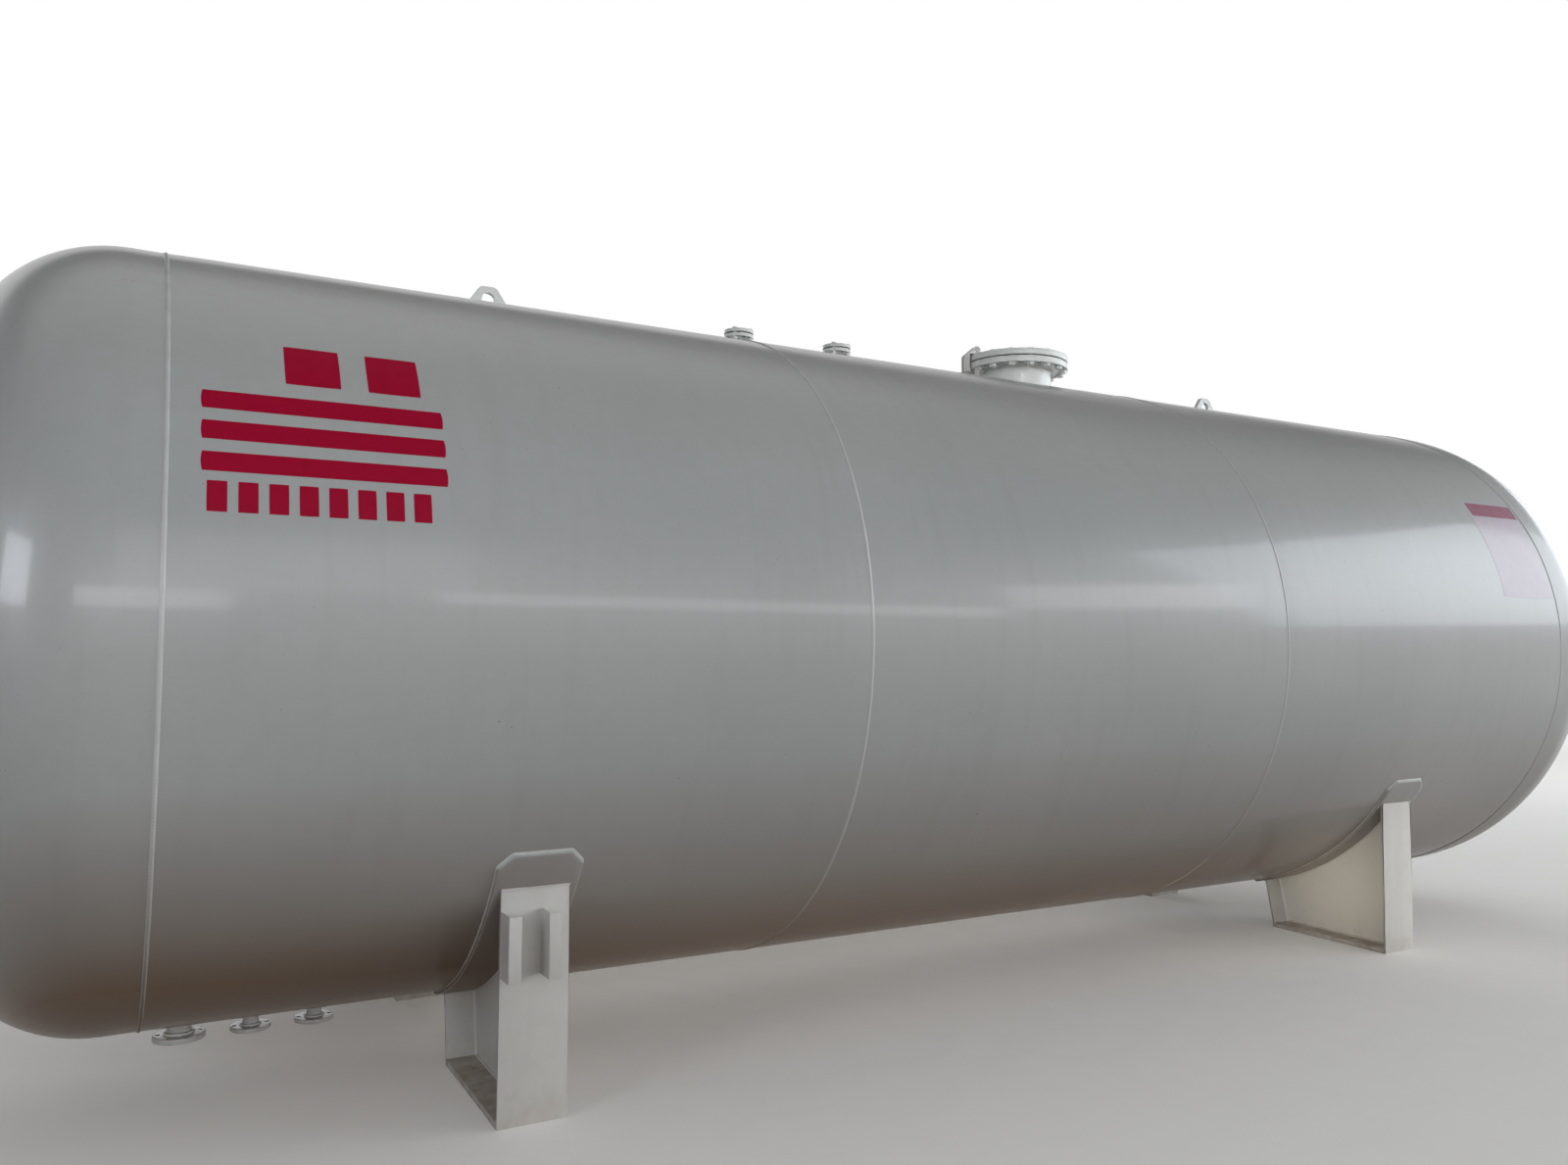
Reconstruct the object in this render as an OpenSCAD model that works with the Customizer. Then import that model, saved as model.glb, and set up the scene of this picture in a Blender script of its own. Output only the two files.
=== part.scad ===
// Horizontal pressure tank on four welded legs. Millimetres, +Z up, +X along the tank.
// The origin is on the ground under the middle of the tank, and -Y is the front.

/* [Vessel] */
// Outside diameter of the shell
shell_od = 2950; // [2900:10:3000]
// Wall thickness of the shell plates
shell_wall = 18; // [14:1:22]
// Wall thickness of the dished heads
head_wall = 20; // [16:1:24]
// Length of one shell course
course_length = 2438.4; // [2400:0.1:2500]
// Straight skirt of a head, before its knuckle starts
head_skirt = 120; // [80:5:150]
// Free height between the ground and the lowest line of the shell
ground_clearance = 215; // [195:5:245]

/* [Weld beads] */
// Width of a butt weld bead on the plates
bead_width = 14; // [10:1:18]
// Height of a butt weld bead above the plates
bead_rise = 2.5; // [1.5:0.5:4]
// Angle of the lengthwise welds of the outer courses, from the crest towards the rear
outer_seam_angle = 50; // [40:1:58]
// Angle of the lengthwise weld of the middle course, from the crest towards the rear
middle_seam_angle = 72; // [62:1:78]

/* [Manhole] */
// Distance of the manhole to the right of the tank's middle
manhole_x = 762; // [700:1:820]
// Outside diameter of the manhole neck
manhole_neck_od = 406.4; // [400:0.1:410]
// Wall thickness of the manhole neck
manhole_neck_wall = 12.7; // [9:0.1:16]
// How far the neck reaches inside the shell
manhole_inset = 40; // [30:1:60]
// Height of the flange's joint face above the crest
manhole_face_rise = 145; // [130:1:160]
// Thickness of the manhole flange and of its cover
manhole_flange_thickness = 36.6; // [32:0.1:40]
// Width of the raised joint face around the neck
manhole_face_width = 31.75; // [28:0.05:34]
// Distance from the joint face's edge to the bolt circle
manhole_bolt_gap = 34.95; // [32:0.05:38]
// Distance from the bolt circle to the rim of the flange and its cover
manhole_rim_gap = 28.55; // [26:0.05:32]
// Diameter of a bolt hole
manhole_bolt_hole = 28.6; // [26:0.1:30]
// Number of bolt holes
manhole_bolts = 16; // [16:4:20]
// Thickness of the gasket
manhole_gasket_thickness = 3.2; // [2:0.1:4]

/* [Cover hinge] */
// Thickness of a hinge cheek and of the arm between the cheeks
hinge_plate = 12; // [10:1:14]
// Free gap between the arm and each cheek
hinge_side_gap = 5; // [5:1:8]
// Radius of the rounded hinge ends
hinge_eye_radius = 22; // [20:1:24]
// Height of the hinge pin above the cover
hinge_pin_rise = 33; // [30:1:38]
// Distance of the hinge pin from the rim, in towards the cover's middle
hinge_pin_inset = 38; // [32:1:45]
// How far the cheeks stand out beyond the rim
hinge_cheek_reach = 42; // [36:1:46]
// How far the cheeks hang below the flange
hinge_cheek_drop = 20; // [10:1:25]
// Radius of the cheeks' outer shoulder
hinge_shoulder_radius = 25; // [20:1:30]
// Depth of the shoulder's centre below the cover's top
hinge_shoulder_drop = 18; // [10:1:20]
// Diameter of the hinge pin
hinge_pin_d = 20; // [16:1:20]
// Length of the arm's foot on the cover
hinge_arm_reach = 90; // [70:5:110]

/* [Top nozzles] */
// Distance of the left top nozzle from the tank's middle
top_nozzle_left_x = -1061; // [-1100:1:-1000]
// Distance of the right top nozzle from the tank's middle
top_nozzle_right_x = -474; // [-520:1:-420]
// Height of the nozzles' joint faces above the crest
top_nozzle_face_rise = 82; // [76:1:90]

/* [Bottom nozzles] */
// Distance of the large bottom nozzle from the left head's weld
bottom_nozzle_left_inset = 150; // [140:1:170]
// Distance of the middle bottom nozzle from the left head's weld
bottom_nozzle_middle_inset = 407; // [390:1:420]
// Distance of the right bottom nozzle from the left head's weld
bottom_nozzle_right_inset = 647; // [630:1:660]
// Distance of the nozzles' joint faces below the shell
bottom_nozzle_drop = 104; // [95:1:115]

/* [Pipe flanges] */
// Three-inch pipe: outside diameter of the neck
large_pipe_od = 88.9; // [88:0.1:90]
// Three-inch pipe: wall thickness
large_pipe_wall = 7.6; // [5.4:0.1:9.4]
// Three-inch flange: outside diameter
large_flange_od = 190.5; // [188:0.1:192]
// Three-inch flange: thickness
large_flange_thickness = 23.9; // [22:0.1:26]
// Three-inch flange: diameter of the raised face
large_face_od = 127; // [120:1:130]
// Three-inch flange: bolt circle diameter
large_bolt_circle = 152.4; // [150:0.1:154]
// Two-inch pipe: outside diameter of the neck
medium_pipe_od = 60.3; // [60:0.1:61]
// Two-inch pipe: wall thickness
medium_pipe_wall = 5.55; // [3.9:0.05:8.7]
// Two-inch flange: outside diameter
medium_flange_od = 152.4; // [150:0.1:154]
// Two-inch flange: thickness, the same on its blind cover
medium_flange_thickness = 19.1; // [18:0.1:21]
// Two-inch flange: diameter of the raised face
medium_face_od = 92.1; // [90:0.1:94]
// Two-inch flange: bolt circle diameter
medium_bolt_circle = 120.7; // [119:0.1:122]
// Bolt hole of the pipe flanges
pipe_bolt_hole = 19.1; // [18:0.1:20]
// Thickness of the gaskets under the blind covers
top_gasket_thickness = 2; // [1.5:0.1:3]
// Bolt holes of each pipe flange
pipe_bolts = 4; // [4:4:8]
// Height of a flange's raised face
face_rise = 2; // [1.5:0.1:3]
// How far a nozzle's pipe reaches inside the shell
nozzle_inset = 15; // [10:1:25]

/* [Lifting lugs] */
// Distance of each lug from the head's weld
lug_inset = 1310; // [1250:5:1380]
// Length of a lug along the shell
lug_base = 240; // [220:5:260]
// Length of a lug's flat top
lug_top = 72; // [60:1:90]
// Height of a lug above the crest
lug_rise = 129; // [115:1:140]
// Thickness of a lug
lug_thickness = 25; // [20:1:30]
// Diameter of the lifting eye
lug_eye_d = 60; // [50:1:64]
// Distance of the eye's centre below the lug's top
lug_eye_depth = 60; // [54:1:66]

/* [Legs] */
// Distance of each pair of legs from the head's weld
leg_inset = 1200; // [1150:5:1220]
// Width of a leg along the tank
leg_width = 250; // [240:5:280]
// Thickness of the leg plates
leg_plate = 12; // [10:1:14]
// Distance of a leg's outer face inside the widest line of the shell
leg_side_inset = 275; // [255:5:295]
// Depth of a leg across the tank, at its foot
leg_depth = 712; // [690:2:730]
// How far the inner plate leans towards the tank's middle plane at its top
leg_lean = 48; // [30:2:60]
// Thickness of the base plate
base_thickness = 25; // [20:1:30]
// Thickness of the wear pad between a leg and the shell
pad_thickness = 12; // [10:1:14]
// Width of the wear pad along the tank
pad_width = 300; // [290:5:330]
// Height of the pad's upper edge above the top of the leg's outer plate
pad_top_reach = 128; // [100:2:150]
// Size of the cut corners of the pad
pad_corner = 45; // [30:5:60]
// How far the pad runs on past the leg's inner plate
pad_lower_reach = 60; // [40:5:80]

/* [Plate bracket] */
// Length of the bracket along the tank
bracket_span = 187; // [170:1:200]
// Height of the bracket
bracket_height = 225; // [200:5:250]
// How far the bracket stands out from the leg
bracket_depth = 100; // [80:5:110]
// Width of its folded front lips
bracket_lip = 45; // [35:1:55]
// Thickness of its sheet
bracket_sheet = 4; // [3:0.5:6]
// Distance of the bracket's left side from the leg's left edge
bracket_margin = 2; // [0:1:10]
// Free height of the leg's outer plate above the bracket
bracket_top_gap = 73; // [60:0.5:110]

/* [Hidden] */

$fn = 96;
paint = [0.86, 0.88, 0.87];
leg_paint = [0.9, 0.92, 0.93];
bare_steel = [0.62, 0.63, 0.64];
gasket_grey = [0.12, 0.12, 0.13];

left = -1;
right = 1;
front = -1;
rear = 1;
cut_over = 5;

shell_r = shell_od / 2;
half_shell = 1.5 * course_length;
axis_height = ground_clearance + shell_r;
crest_z = axis_height + shell_r;
pad_r = shell_r + pad_thickness;

// Round of a bead whose width and height above the plate are given.
bead_r = (bead_width * bead_width / 4 + bead_rise * bead_rise) / (2 * bead_rise);

// Dished head after its diameter: knuckle radius, crown radius and the crown's centre.
knuckle_r = 0.17 * shell_od;
crown_r = 0.9 * shell_od;
knuckle_centre_r = shell_r - knuckle_r;
crown_reach = crown_r - knuckle_r;
crown_centre_z = -sqrt(crown_reach * crown_reach - knuckle_centre_r * knuckle_centre_r);
head_depth = crown_r + crown_centre_z;
tangent_out = 1.3;
tangent_r = knuckle_centre_r * tangent_out;
tangent_z = -crown_centre_z * (tangent_out - 1);

manhole_face_od = manhole_neck_od + 2 * manhole_face_width;
manhole_bolt_circle = manhole_face_od + 2 * manhole_bolt_gap;
manhole_flange_od = manhole_bolt_circle + 2 * manhole_rim_gap;
manhole_face_z = crest_z + manhole_face_rise;
cover_bottom_z = manhole_face_z + manhole_gasket_thickness;
cover_top_z = cover_bottom_z + manhole_flange_thickness;
manhole_neck_bottom_z = axis_height + sqrt(pow(shell_r - shell_wall, 2) - pow(manhole_neck_od / 2, 2))
    - manhole_inset;
cover_clearance = 4;

hinge_rim_x = -manhole_flange_od / 2;
hinge_pin_x = hinge_rim_x + hinge_pin_inset;
hinge_pin_z = cover_top_z + hinge_pin_rise;
hinge_cheek_y = hinge_plate / 2 + hinge_side_gap;
hinge_back_x = hinge_rim_x - hinge_cheek_reach;
hinge_foot_z = manhole_face_z - manhole_flange_thickness - hinge_cheek_drop;
hinge_shoulder_z = cover_top_z - hinge_shoulder_drop;
hinge_overlap = 2;
hinge_pin_overhang = 4;

blind_bottom_rise = top_nozzle_face_rise + top_gasket_thickness;
leg_x = half_shell - leg_inset;
lug_x = half_shell - lug_inset;

// Distances from the tank's middle plane to a leg's outer face and to its inner plate.
leg_outer_y = shell_r - leg_side_inset;
leg_inner_foot_y = leg_outer_y - leg_depth;
leg_inner_top_y = leg_inner_foot_y - leg_lean;
pad_lower_y = leg_inner_top_y - pad_lower_reach;

// Heights at which the outer and the inner plate meet the pad.
outer_top_z = axis_height - sqrt(pad_r * pad_r - leg_outer_y * leg_outer_y);
inner_top_z = axis_height - sqrt(pad_r * pad_r - leg_inner_top_y * leg_inner_top_y);

// Heights inside the round of the pad, where the outlines of the leg plates end before they are cut.
pad_top_z = outer_top_z + pad_top_reach;
inner_cut_z = inner_top_z + leg_lean;

// Outer face of a leg's inner plate at a height: it slants inwards towards the top.
function inner_face_y(z) = -leg_inner_foot_y
    + leg_lean * (z - base_thickness) / (inner_top_z - base_thickness);

// Puts what is drawn around +Z around the vessel axis, with +Z turned to +X.
module on_axis(x = 0) {
    translate([x, 0, axis_height]) rotate([0, 90, 0]) children();
}

// Solid cylinder around the vessel axis, to cut what stands on the shell or hangs under it.
module vessel_cut(radius) {
    on_axis(-half_shell) cylinder(r = radius, h = 2 * half_shell, $fn = 180);
}

// Mirrors what is drawn for the right front to the given end and side.
module place(end, side) {
    mirror([end == left ? 1 : 0, 0, 0]) mirror([0, side == rear ? 1 : 0, 0]) children();
}

// Ring of equal upright holes.
module hole_ring(circle_d, hole_d, count, low, high, first = 0) {
    for (k = [0 : count - 1])
        rotate([0, 0, first + k * 360 / count])
            translate([circle_d / 2, 0, low - cut_over])
                cylinder(d = hole_d, h = high - low + 2 * cut_over, $fn = 32);
}

// Round hole through the shell for a pipe at x, upwards or downwards.
module shell_hole(x, pipe_od, up = true) {
    translate([x, 0, up ? axis_height : 0])
        cylinder(d = pipe_od, h = up ? crest_z - axis_height + cut_over : axis_height, $fn = 64);
}

module shell_course(place_x) {
    on_axis(place_x - course_length / 2)
        difference() {
            cylinder(r = shell_r, h = course_length, $fn = 180);
            translate([0, 0, -cut_over])
                cylinder(r = shell_r - shell_wall, h = course_length + 2 * cut_over, $fn = 180);
        }
}

module shell_course_left() {
    color(paint) difference() {
        shell_course(-course_length);
        shell_hole(bottom_nozzle_left_inset - half_shell, large_pipe_od, up = false);
        shell_hole(bottom_nozzle_middle_inset - half_shell, medium_pipe_od, up = false);
        shell_hole(bottom_nozzle_right_inset - half_shell, medium_pipe_od, up = false);
    }
}

module shell_course_middle() {
    color(paint) difference() {
        shell_course(0);
        shell_hole(top_nozzle_left_x, medium_pipe_od);
        shell_hole(top_nozzle_right_x, medium_pipe_od);
        shell_hole(manhole_x, manhole_neck_od);
    }
}

module shell_course_right() {
    color(paint) shell_course(course_length);
}

// Half outline of a dished head, inward from its surface by the given thickness.
module head_outline(inward) {
    // crown arc up to the line through both arc centres
    intersection() {
        translate([0, crown_centre_z]) circle(r = crown_r - inward, $fn = 360);
        polygon([[0, 0], [0, head_depth + cut_over], [tangent_r, head_depth + cut_over],
                 [tangent_r, tangent_z], [knuckle_centre_r, 0]]);
    }
    // knuckle arc from that line to the skirt
    intersection() {
        translate([knuckle_centre_r, 0]) circle(r = knuckle_r - inward, $fn = 120);
        translate([0, -cut_over]) square([shell_r, head_depth]);
    }
    translate([0, -head_skirt - (inward > 0 ? cut_over : 0)])
        square([shell_r - inward, head_skirt + (inward > 0 ? cut_over : 0)]);
}

module dished_head() {
    on_axis(half_shell + head_skirt)
        rotate_extrude($fn = 180) difference() {
            head_outline(0);
            head_outline(head_wall);
        }
}

module head_left() {
    color(paint) place(left, front) dished_head();
}

module head_right() {
    color(paint) place(right, front) dished_head();
}

// Segment of a circle that stands on the shell line: the section of a bead around the shell.
module girth_weld(x) {
    on_axis(x)
        rotate_extrude($fn = 180) difference() {
            translate([shell_r + bead_rise - bead_r, 0]) circle(r = bead_r, $fn = 64);
            translate([shell_r - 3 * bead_r, -2 * bead_r]) square([3 * bead_r, 4 * bead_r]);
        }
}

module girth_welds() {
    color(paint) for (k = [-1.5 : 1 : 1.5]) girth_weld(k * course_length);
}

// Straight bead along one course, at an angle from the crest towards the rear. Its flat underside
// is the chord of the shell between the bead's two edges.
module long_seam_weld(place_x, angle) {
    run = course_length - bead_width;
    chord_r = sqrt(shell_r * shell_r - bead_width * bead_width / 4);
    translate([place_x - run / 2, 0, axis_height])
        rotate([-angle, 0, 0]) rotate([90, 0, 90]) linear_extrude(run)
            difference() {
                translate([0, shell_r + bead_rise - bead_r]) circle(r = bead_r, $fn = 64);
                translate([-2 * bead_r, chord_r - 3 * bead_r]) square([4 * bead_r, 3 * bead_r]);
            }
}

module long_seam_welds() {
    color(paint) {
        long_seam_weld(-course_length, outer_seam_angle);
        long_seam_weld(0, middle_seam_angle);
        long_seam_weld(course_length, outer_seam_angle);
    }
}

module manhole_neck() {
    color(paint) translate([manhole_x, 0, manhole_neck_bottom_z])
        difference() {
            cylinder(d = manhole_neck_od, h = manhole_face_z - manhole_neck_bottom_z);
            translate([0, 0, -cut_over])
                cylinder(d = manhole_neck_od - 2 * manhole_neck_wall,
                         h = manhole_face_z - manhole_neck_bottom_z + 2 * cut_over);
        }
}

// Flange disc lying on z = 0 with its raised face on top, its bolt holes and its bore.
module flange_disc(od, thickness, face_od, bore, bolt_circle, bolt_hole, count, first) {
    difference() {
        union() {
            cylinder(d = od, h = thickness - face_rise);
            cylinder(d = face_od, h = thickness);
        }
        hole_ring(bolt_circle, bolt_hole, count, 0, thickness, first);
        if (bore > 0)
            translate([0, 0, -cut_over]) cylinder(d = bore, h = thickness + 2 * cut_over, $fn = 64);
    }
}

module manhole_flange() {
    color(paint) translate([manhole_x, 0, manhole_face_z - manhole_flange_thickness])
        flange_disc(manhole_flange_od, manhole_flange_thickness, manhole_face_od, manhole_neck_od,
                    manhole_bolt_circle, manhole_bolt_hole, manhole_bolts, 0);
}

module manhole_gasket() {
    color(gasket_grey) translate([manhole_x, 0, manhole_face_z])
        difference() {
            cylinder(d = manhole_face_od, h = manhole_gasket_thickness);
            translate([0, 0, -cut_over])
                cylinder(d = manhole_neck_od - 2 * manhole_neck_wall,
                         h = manhole_gasket_thickness + 2 * cut_over);
        }
}

module manhole_cover() {
    color(paint) translate([manhole_x, 0, cover_top_z])
        mirror([0, 0, 1])
            flange_disc(manhole_flange_od, manhole_flange_thickness, manhole_face_od, 0,
                        manhole_bolt_circle, manhole_bolt_hole, manhole_bolts, 0);
}

// Point on a round of radius r about (x, z), at an angle.
function round_point(x, z, r, angle) = [x + r * cos(angle), z + r * sin(angle)];

// Side outline of a hinge cheek: an upright strip beside the rim, with a round shoulder from which
// it leans in over the cover to the pin's eye.
module cheek_outline() {
    shoulder_x = hinge_back_x + hinge_shoulder_radius;
    run = [hinge_pin_x - shoulder_x, hinge_pin_z - hinge_shoulder_z];
    lean = atan2(run.y, run.x);
    // turn from the line of both centres to the point where the straight edge leaves a round
    turn = acos((hinge_shoulder_radius - hinge_eye_radius) / norm(run));
    difference() {
        union() {
            translate([hinge_pin_x, hinge_pin_z]) circle(r = hinge_eye_radius, $fn = 48);
            translate([shoulder_x, hinge_shoulder_z]) circle(r = hinge_shoulder_radius, $fn = 48);
            polygon([round_point(shoulder_x, hinge_shoulder_z, hinge_shoulder_radius, lean + turn),
                     round_point(hinge_pin_x, hinge_pin_z, hinge_eye_radius, lean + turn),
                     round_point(hinge_pin_x, hinge_pin_z, hinge_eye_radius, lean - turn),
                     round_point(shoulder_x, hinge_shoulder_z, hinge_shoulder_radius, lean - turn)]);
            translate([hinge_back_x, hinge_foot_z])
                square([hinge_rim_x + hinge_overlap - hinge_back_x,
                        hinge_shoulder_z - hinge_foot_z]);
        }
        translate([hinge_rim_x - cover_clearance, manhole_face_z - face_rise])
            square([hinge_pin_inset + 2 * hinge_eye_radius,
                    cover_top_z - manhole_face_z + face_rise + cover_clearance]);
        translate([hinge_pin_x, hinge_pin_z]) circle(d = hinge_pin_d, $fn = 48);
    }
}

// The hinge stands at the left rim, between two bolts.
module hinge_place() {
    translate([manhole_x, 0, 0]) rotate([0, 0, -180 / manhole_bolts]) children();
}

module cover_hinge_cheeks() {
    color(leg_paint) hinge_place() difference() {
        for (side = [front, rear])
            translate([0, side * (hinge_cheek_y + hinge_plate / 2) + hinge_plate / 2, 0])
                rotate([90, 0, 0]) linear_extrude(hinge_plate) cheek_outline();
        cylinder(d = manhole_flange_od, h = cover_top_z);
    }
}

module cover_hinge_arm() {
    color(leg_paint) hinge_place() translate([0, hinge_plate / 2, 0]) rotate([90, 0, 0])
        linear_extrude(hinge_plate) difference() {
            union() {
                translate([hinge_pin_x, hinge_pin_z]) circle(r = hinge_eye_radius, $fn = 48);
                polygon([[hinge_pin_x, cover_top_z], [hinge_pin_x + hinge_arm_reach, cover_top_z],
                         [hinge_pin_x + hinge_arm_reach, cover_top_z + hinge_plate],
                         [hinge_pin_x + hinge_eye_radius, hinge_pin_z],
                         [hinge_pin_x, hinge_pin_z]]);
            }
            translate([hinge_pin_x, hinge_pin_z]) circle(d = hinge_pin_d, $fn = 48);
            translate([hinge_pin_x - 3 * hinge_eye_radius, cover_top_z - 3 * hinge_eye_radius])
                square([6 * hinge_eye_radius, 3 * hinge_eye_radius]);
        }
}

module cover_hinge_pin() {
    pin_length = 2 * (hinge_cheek_y + hinge_plate + hinge_pin_overhang);
    color(bare_steel) hinge_place() translate([hinge_pin_x, pin_length / 2, hinge_pin_z])
        rotate([90, 0, 0]) cylinder(d = hinge_pin_d, h = pin_length, $fn = 48);
}

// Pipe stub with a slip-on flange: joint face at z = 0, looking up, the pipe going down.
module nozzle(pipe_od, wall, flange_od, thickness, face_od, bolt_circle, bolt_hole, run) {
    bore = pipe_od - 2 * wall;
    hub = 0.35 * thickness;
    difference() {
        union() {
            translate([0, 0, -run]) cylinder(d = pipe_od, h = run, $fn = 64);
            translate([0, 0, -thickness - hub]) cylinder(d = pipe_od + 3 * hub, h = hub + 1, $fn = 64);
            translate([0, 0, -thickness]) cylinder(d = flange_od, h = thickness - face_rise);
            translate([0, 0, -thickness]) cylinder(d = face_od, h = thickness, $fn = 64);
        }
        translate([0, 0, -run - cut_over]) cylinder(d = bore, h = run + 2 * cut_over, $fn = 64);
        hole_ring(bolt_circle, bolt_hole, pipe_bolts, -thickness - hub, 0, 180 / pipe_bolts);
    }
}

module top_nozzle(x) {
    color(paint) translate([x, 0, crest_z + top_nozzle_face_rise])
        nozzle(medium_pipe_od, medium_pipe_wall, medium_flange_od, medium_flange_thickness,
               medium_face_od, medium_bolt_circle, pipe_bolt_hole,
               top_nozzle_face_rise + shell_wall + nozzle_inset);
}

module top_nozzle_left() {
    top_nozzle(top_nozzle_left_x);
}

module top_nozzle_right() {
    top_nozzle(top_nozzle_right_x);
}

module top_gaskets() {
    bore = medium_pipe_od - 2 * medium_pipe_wall;
    color(gasket_grey) for (x = [top_nozzle_left_x, top_nozzle_right_x])
        translate([x, 0, crest_z + top_nozzle_face_rise])
            difference() {
                cylinder(d = medium_face_od, h = top_gasket_thickness, $fn = 64);
                translate([0, 0, -cut_over])
                    cylinder(d = bore, h = top_gasket_thickness + 2 * cut_over, $fn = 64);
            }
}

module top_blind(x) {
    color(paint) translate([x, 0, crest_z + blind_bottom_rise + medium_flange_thickness])
        mirror([0, 0, 1])
            flange_disc(medium_flange_od, medium_flange_thickness, medium_face_od, 0,
                        medium_bolt_circle, pipe_bolt_hole, pipe_bolts, 180 / pipe_bolts);
}

module top_blind_left() {
    top_blind(top_nozzle_left_x);
}

module top_blind_right() {
    top_blind(top_nozzle_right_x);
}

module bottom_nozzle_place(inset) {
    translate([inset - half_shell, 0, axis_height - shell_r - bottom_nozzle_drop])
        mirror([0, 0, 1]) children();
}

module bottom_nozzle_left() {
    color(paint) bottom_nozzle_place(bottom_nozzle_left_inset)
        nozzle(large_pipe_od, large_pipe_wall, large_flange_od, large_flange_thickness,
               large_face_od, large_bolt_circle, pipe_bolt_hole,
               bottom_nozzle_drop + shell_wall + nozzle_inset);
}

module medium_nozzle() {
    nozzle(medium_pipe_od, medium_pipe_wall, medium_flange_od, medium_flange_thickness,
           medium_face_od, medium_bolt_circle, pipe_bolt_hole,
           bottom_nozzle_drop + shell_wall + nozzle_inset);
}

module bottom_nozzle_middle() {
    color(paint) bottom_nozzle_place(bottom_nozzle_middle_inset) medium_nozzle();
}

module bottom_nozzle_right() {
    color(paint) bottom_nozzle_place(bottom_nozzle_right_inset) medium_nozzle();
}

module lifting_lug(x) {
    color(paint) difference() {
        translate([x, lug_thickness / 2, crest_z]) rotate([90, 0, 0])
            linear_extrude(lug_thickness) difference() {
                polygon([[-lug_base / 2, -cut_over], [lug_base / 2, -cut_over], [lug_base / 2, 0],
                         [lug_top / 2, lug_rise], [-lug_top / 2, lug_rise], [-lug_base / 2, 0]]);
                translate([0, lug_rise - lug_eye_depth]) circle(d = lug_eye_d, $fn = 48);
            }
        vessel_cut(shell_r);
    }
}

module lifting_lug_left() {
    lifting_lug(-lug_x);
}

module lifting_lug_right() {
    lifting_lug(lug_x);
}

// Curved plate under the shell, drawn for the right front leg.
module wear_pad() {
    low_z = axis_height - pad_r - cut_over;
    difference() {
        intersection() {
            on_axis(leg_x - pad_width / 2) cylinder(r = pad_r, h = pad_width, $fn = 180);
            translate([leg_x, -pad_lower_y, 0]) rotate([90, 0, 0])
                linear_extrude(shell_r)
                    polygon([[-pad_width / 2, low_z], [pad_width / 2, low_z],
                             [pad_width / 2, pad_top_z - pad_corner],
                             [pad_width / 2 - pad_corner, pad_top_z],
                             [pad_corner - pad_width / 2, pad_top_z],
                             [-pad_width / 2, pad_top_z - pad_corner]]);
        }
        vessel_cut(shell_r);
    }
}

// Plate of a leg: its outline across the tank, cut to sit under the pad, and its length along it.
module leg_slab(outline, length) {
    difference() {
        translate([leg_x - length / 2, 0, 0]) rotate([90, 0, 90])
            linear_extrude(length) polygon(outline);
        vessel_cut(pad_r);
    }
}

module leg_outer_plate() {
    leg_slab([[-leg_outer_y, 0], [leg_plate - leg_outer_y, 0],
              [leg_plate - leg_outer_y, pad_top_z], [-leg_outer_y, pad_top_z]],
             leg_width);
}

module leg_inner_plate() {
    foot_y = inner_face_y(base_thickness);
    over_y = inner_face_y(inner_cut_z);
    leg_slab([[foot_y, base_thickness], [foot_y + leg_plate, base_thickness],
              [over_y + leg_plate, inner_cut_z], [over_y, inner_cut_z]],
             leg_width);
}

module leg_web() {
    leg_slab([[leg_plate - leg_outer_y, base_thickness],
              [inner_face_y(base_thickness), base_thickness],
              [inner_face_y(inner_cut_z), inner_cut_z],
              [inner_face_y(inner_cut_z), pad_top_z],
              [leg_plate - leg_outer_y, pad_top_z]],
             leg_plate);
}

module base_plate() {
    foot_end_y = leg_inner_foot_y - leg_plate;
    translate([leg_x - leg_width / 2, leg_plate - leg_outer_y, 0])
        cube([leg_width, leg_outer_y - leg_plate - foot_end_y, base_thickness]);
}

// Folded angle: a side wall that stands on the leg and a lip turned to the right at its front.
module bracket_angle() {
    cube([bracket_sheet, bracket_depth, bracket_height]);
    cube([bracket_lip, bracket_sheet, bracket_height]);
}

module plate_bracket() {
    low_z = outer_top_z - bracket_top_gap - bracket_height;
    color(leg_paint)
        translate([bracket_margin - leg_x - leg_width / 2, -leg_outer_y - bracket_depth, low_z])
            for (x = [0, bracket_span - bracket_lip])
                translate([x, 0, 0]) bracket_angle();
}

shell_course_left();
shell_course_middle();
shell_course_right();
head_left();
head_right();
girth_welds();
long_seam_welds();
manhole_neck();
manhole_flange();
manhole_gasket();
manhole_cover();
cover_hinge_cheeks();
cover_hinge_arm();
cover_hinge_pin();
top_nozzle_left();
top_nozzle_right();
top_gaskets();
top_blind_left();
top_blind_right();
bottom_nozzle_left();
bottom_nozzle_middle();
bottom_nozzle_right();
lifting_lug_left();
lifting_lug_right();
color(paint) place(left, front) wear_pad();  // wear_pad_left_front
color(paint) place(left, rear) wear_pad();  // wear_pad_left_rear
color(paint) place(right, front) wear_pad();  // wear_pad_right_front
color(paint) place(right, rear) wear_pad();  // wear_pad_right_rear
color(leg_paint) place(left, front) leg_outer_plate();  // leg_outer_plate_left_front
color(leg_paint) place(left, rear) leg_outer_plate();  // leg_outer_plate_left_rear
color(leg_paint) place(right, front) leg_outer_plate();  // leg_outer_plate_right_front
color(leg_paint) place(right, rear) leg_outer_plate();  // leg_outer_plate_right_rear
color(leg_paint) place(left, front) leg_web();  // leg_web_left_front
color(leg_paint) place(left, rear) leg_web();  // leg_web_left_rear
color(leg_paint) place(right, front) leg_web();  // leg_web_right_front
color(leg_paint) place(right, rear) leg_web();  // leg_web_right_rear
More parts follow.
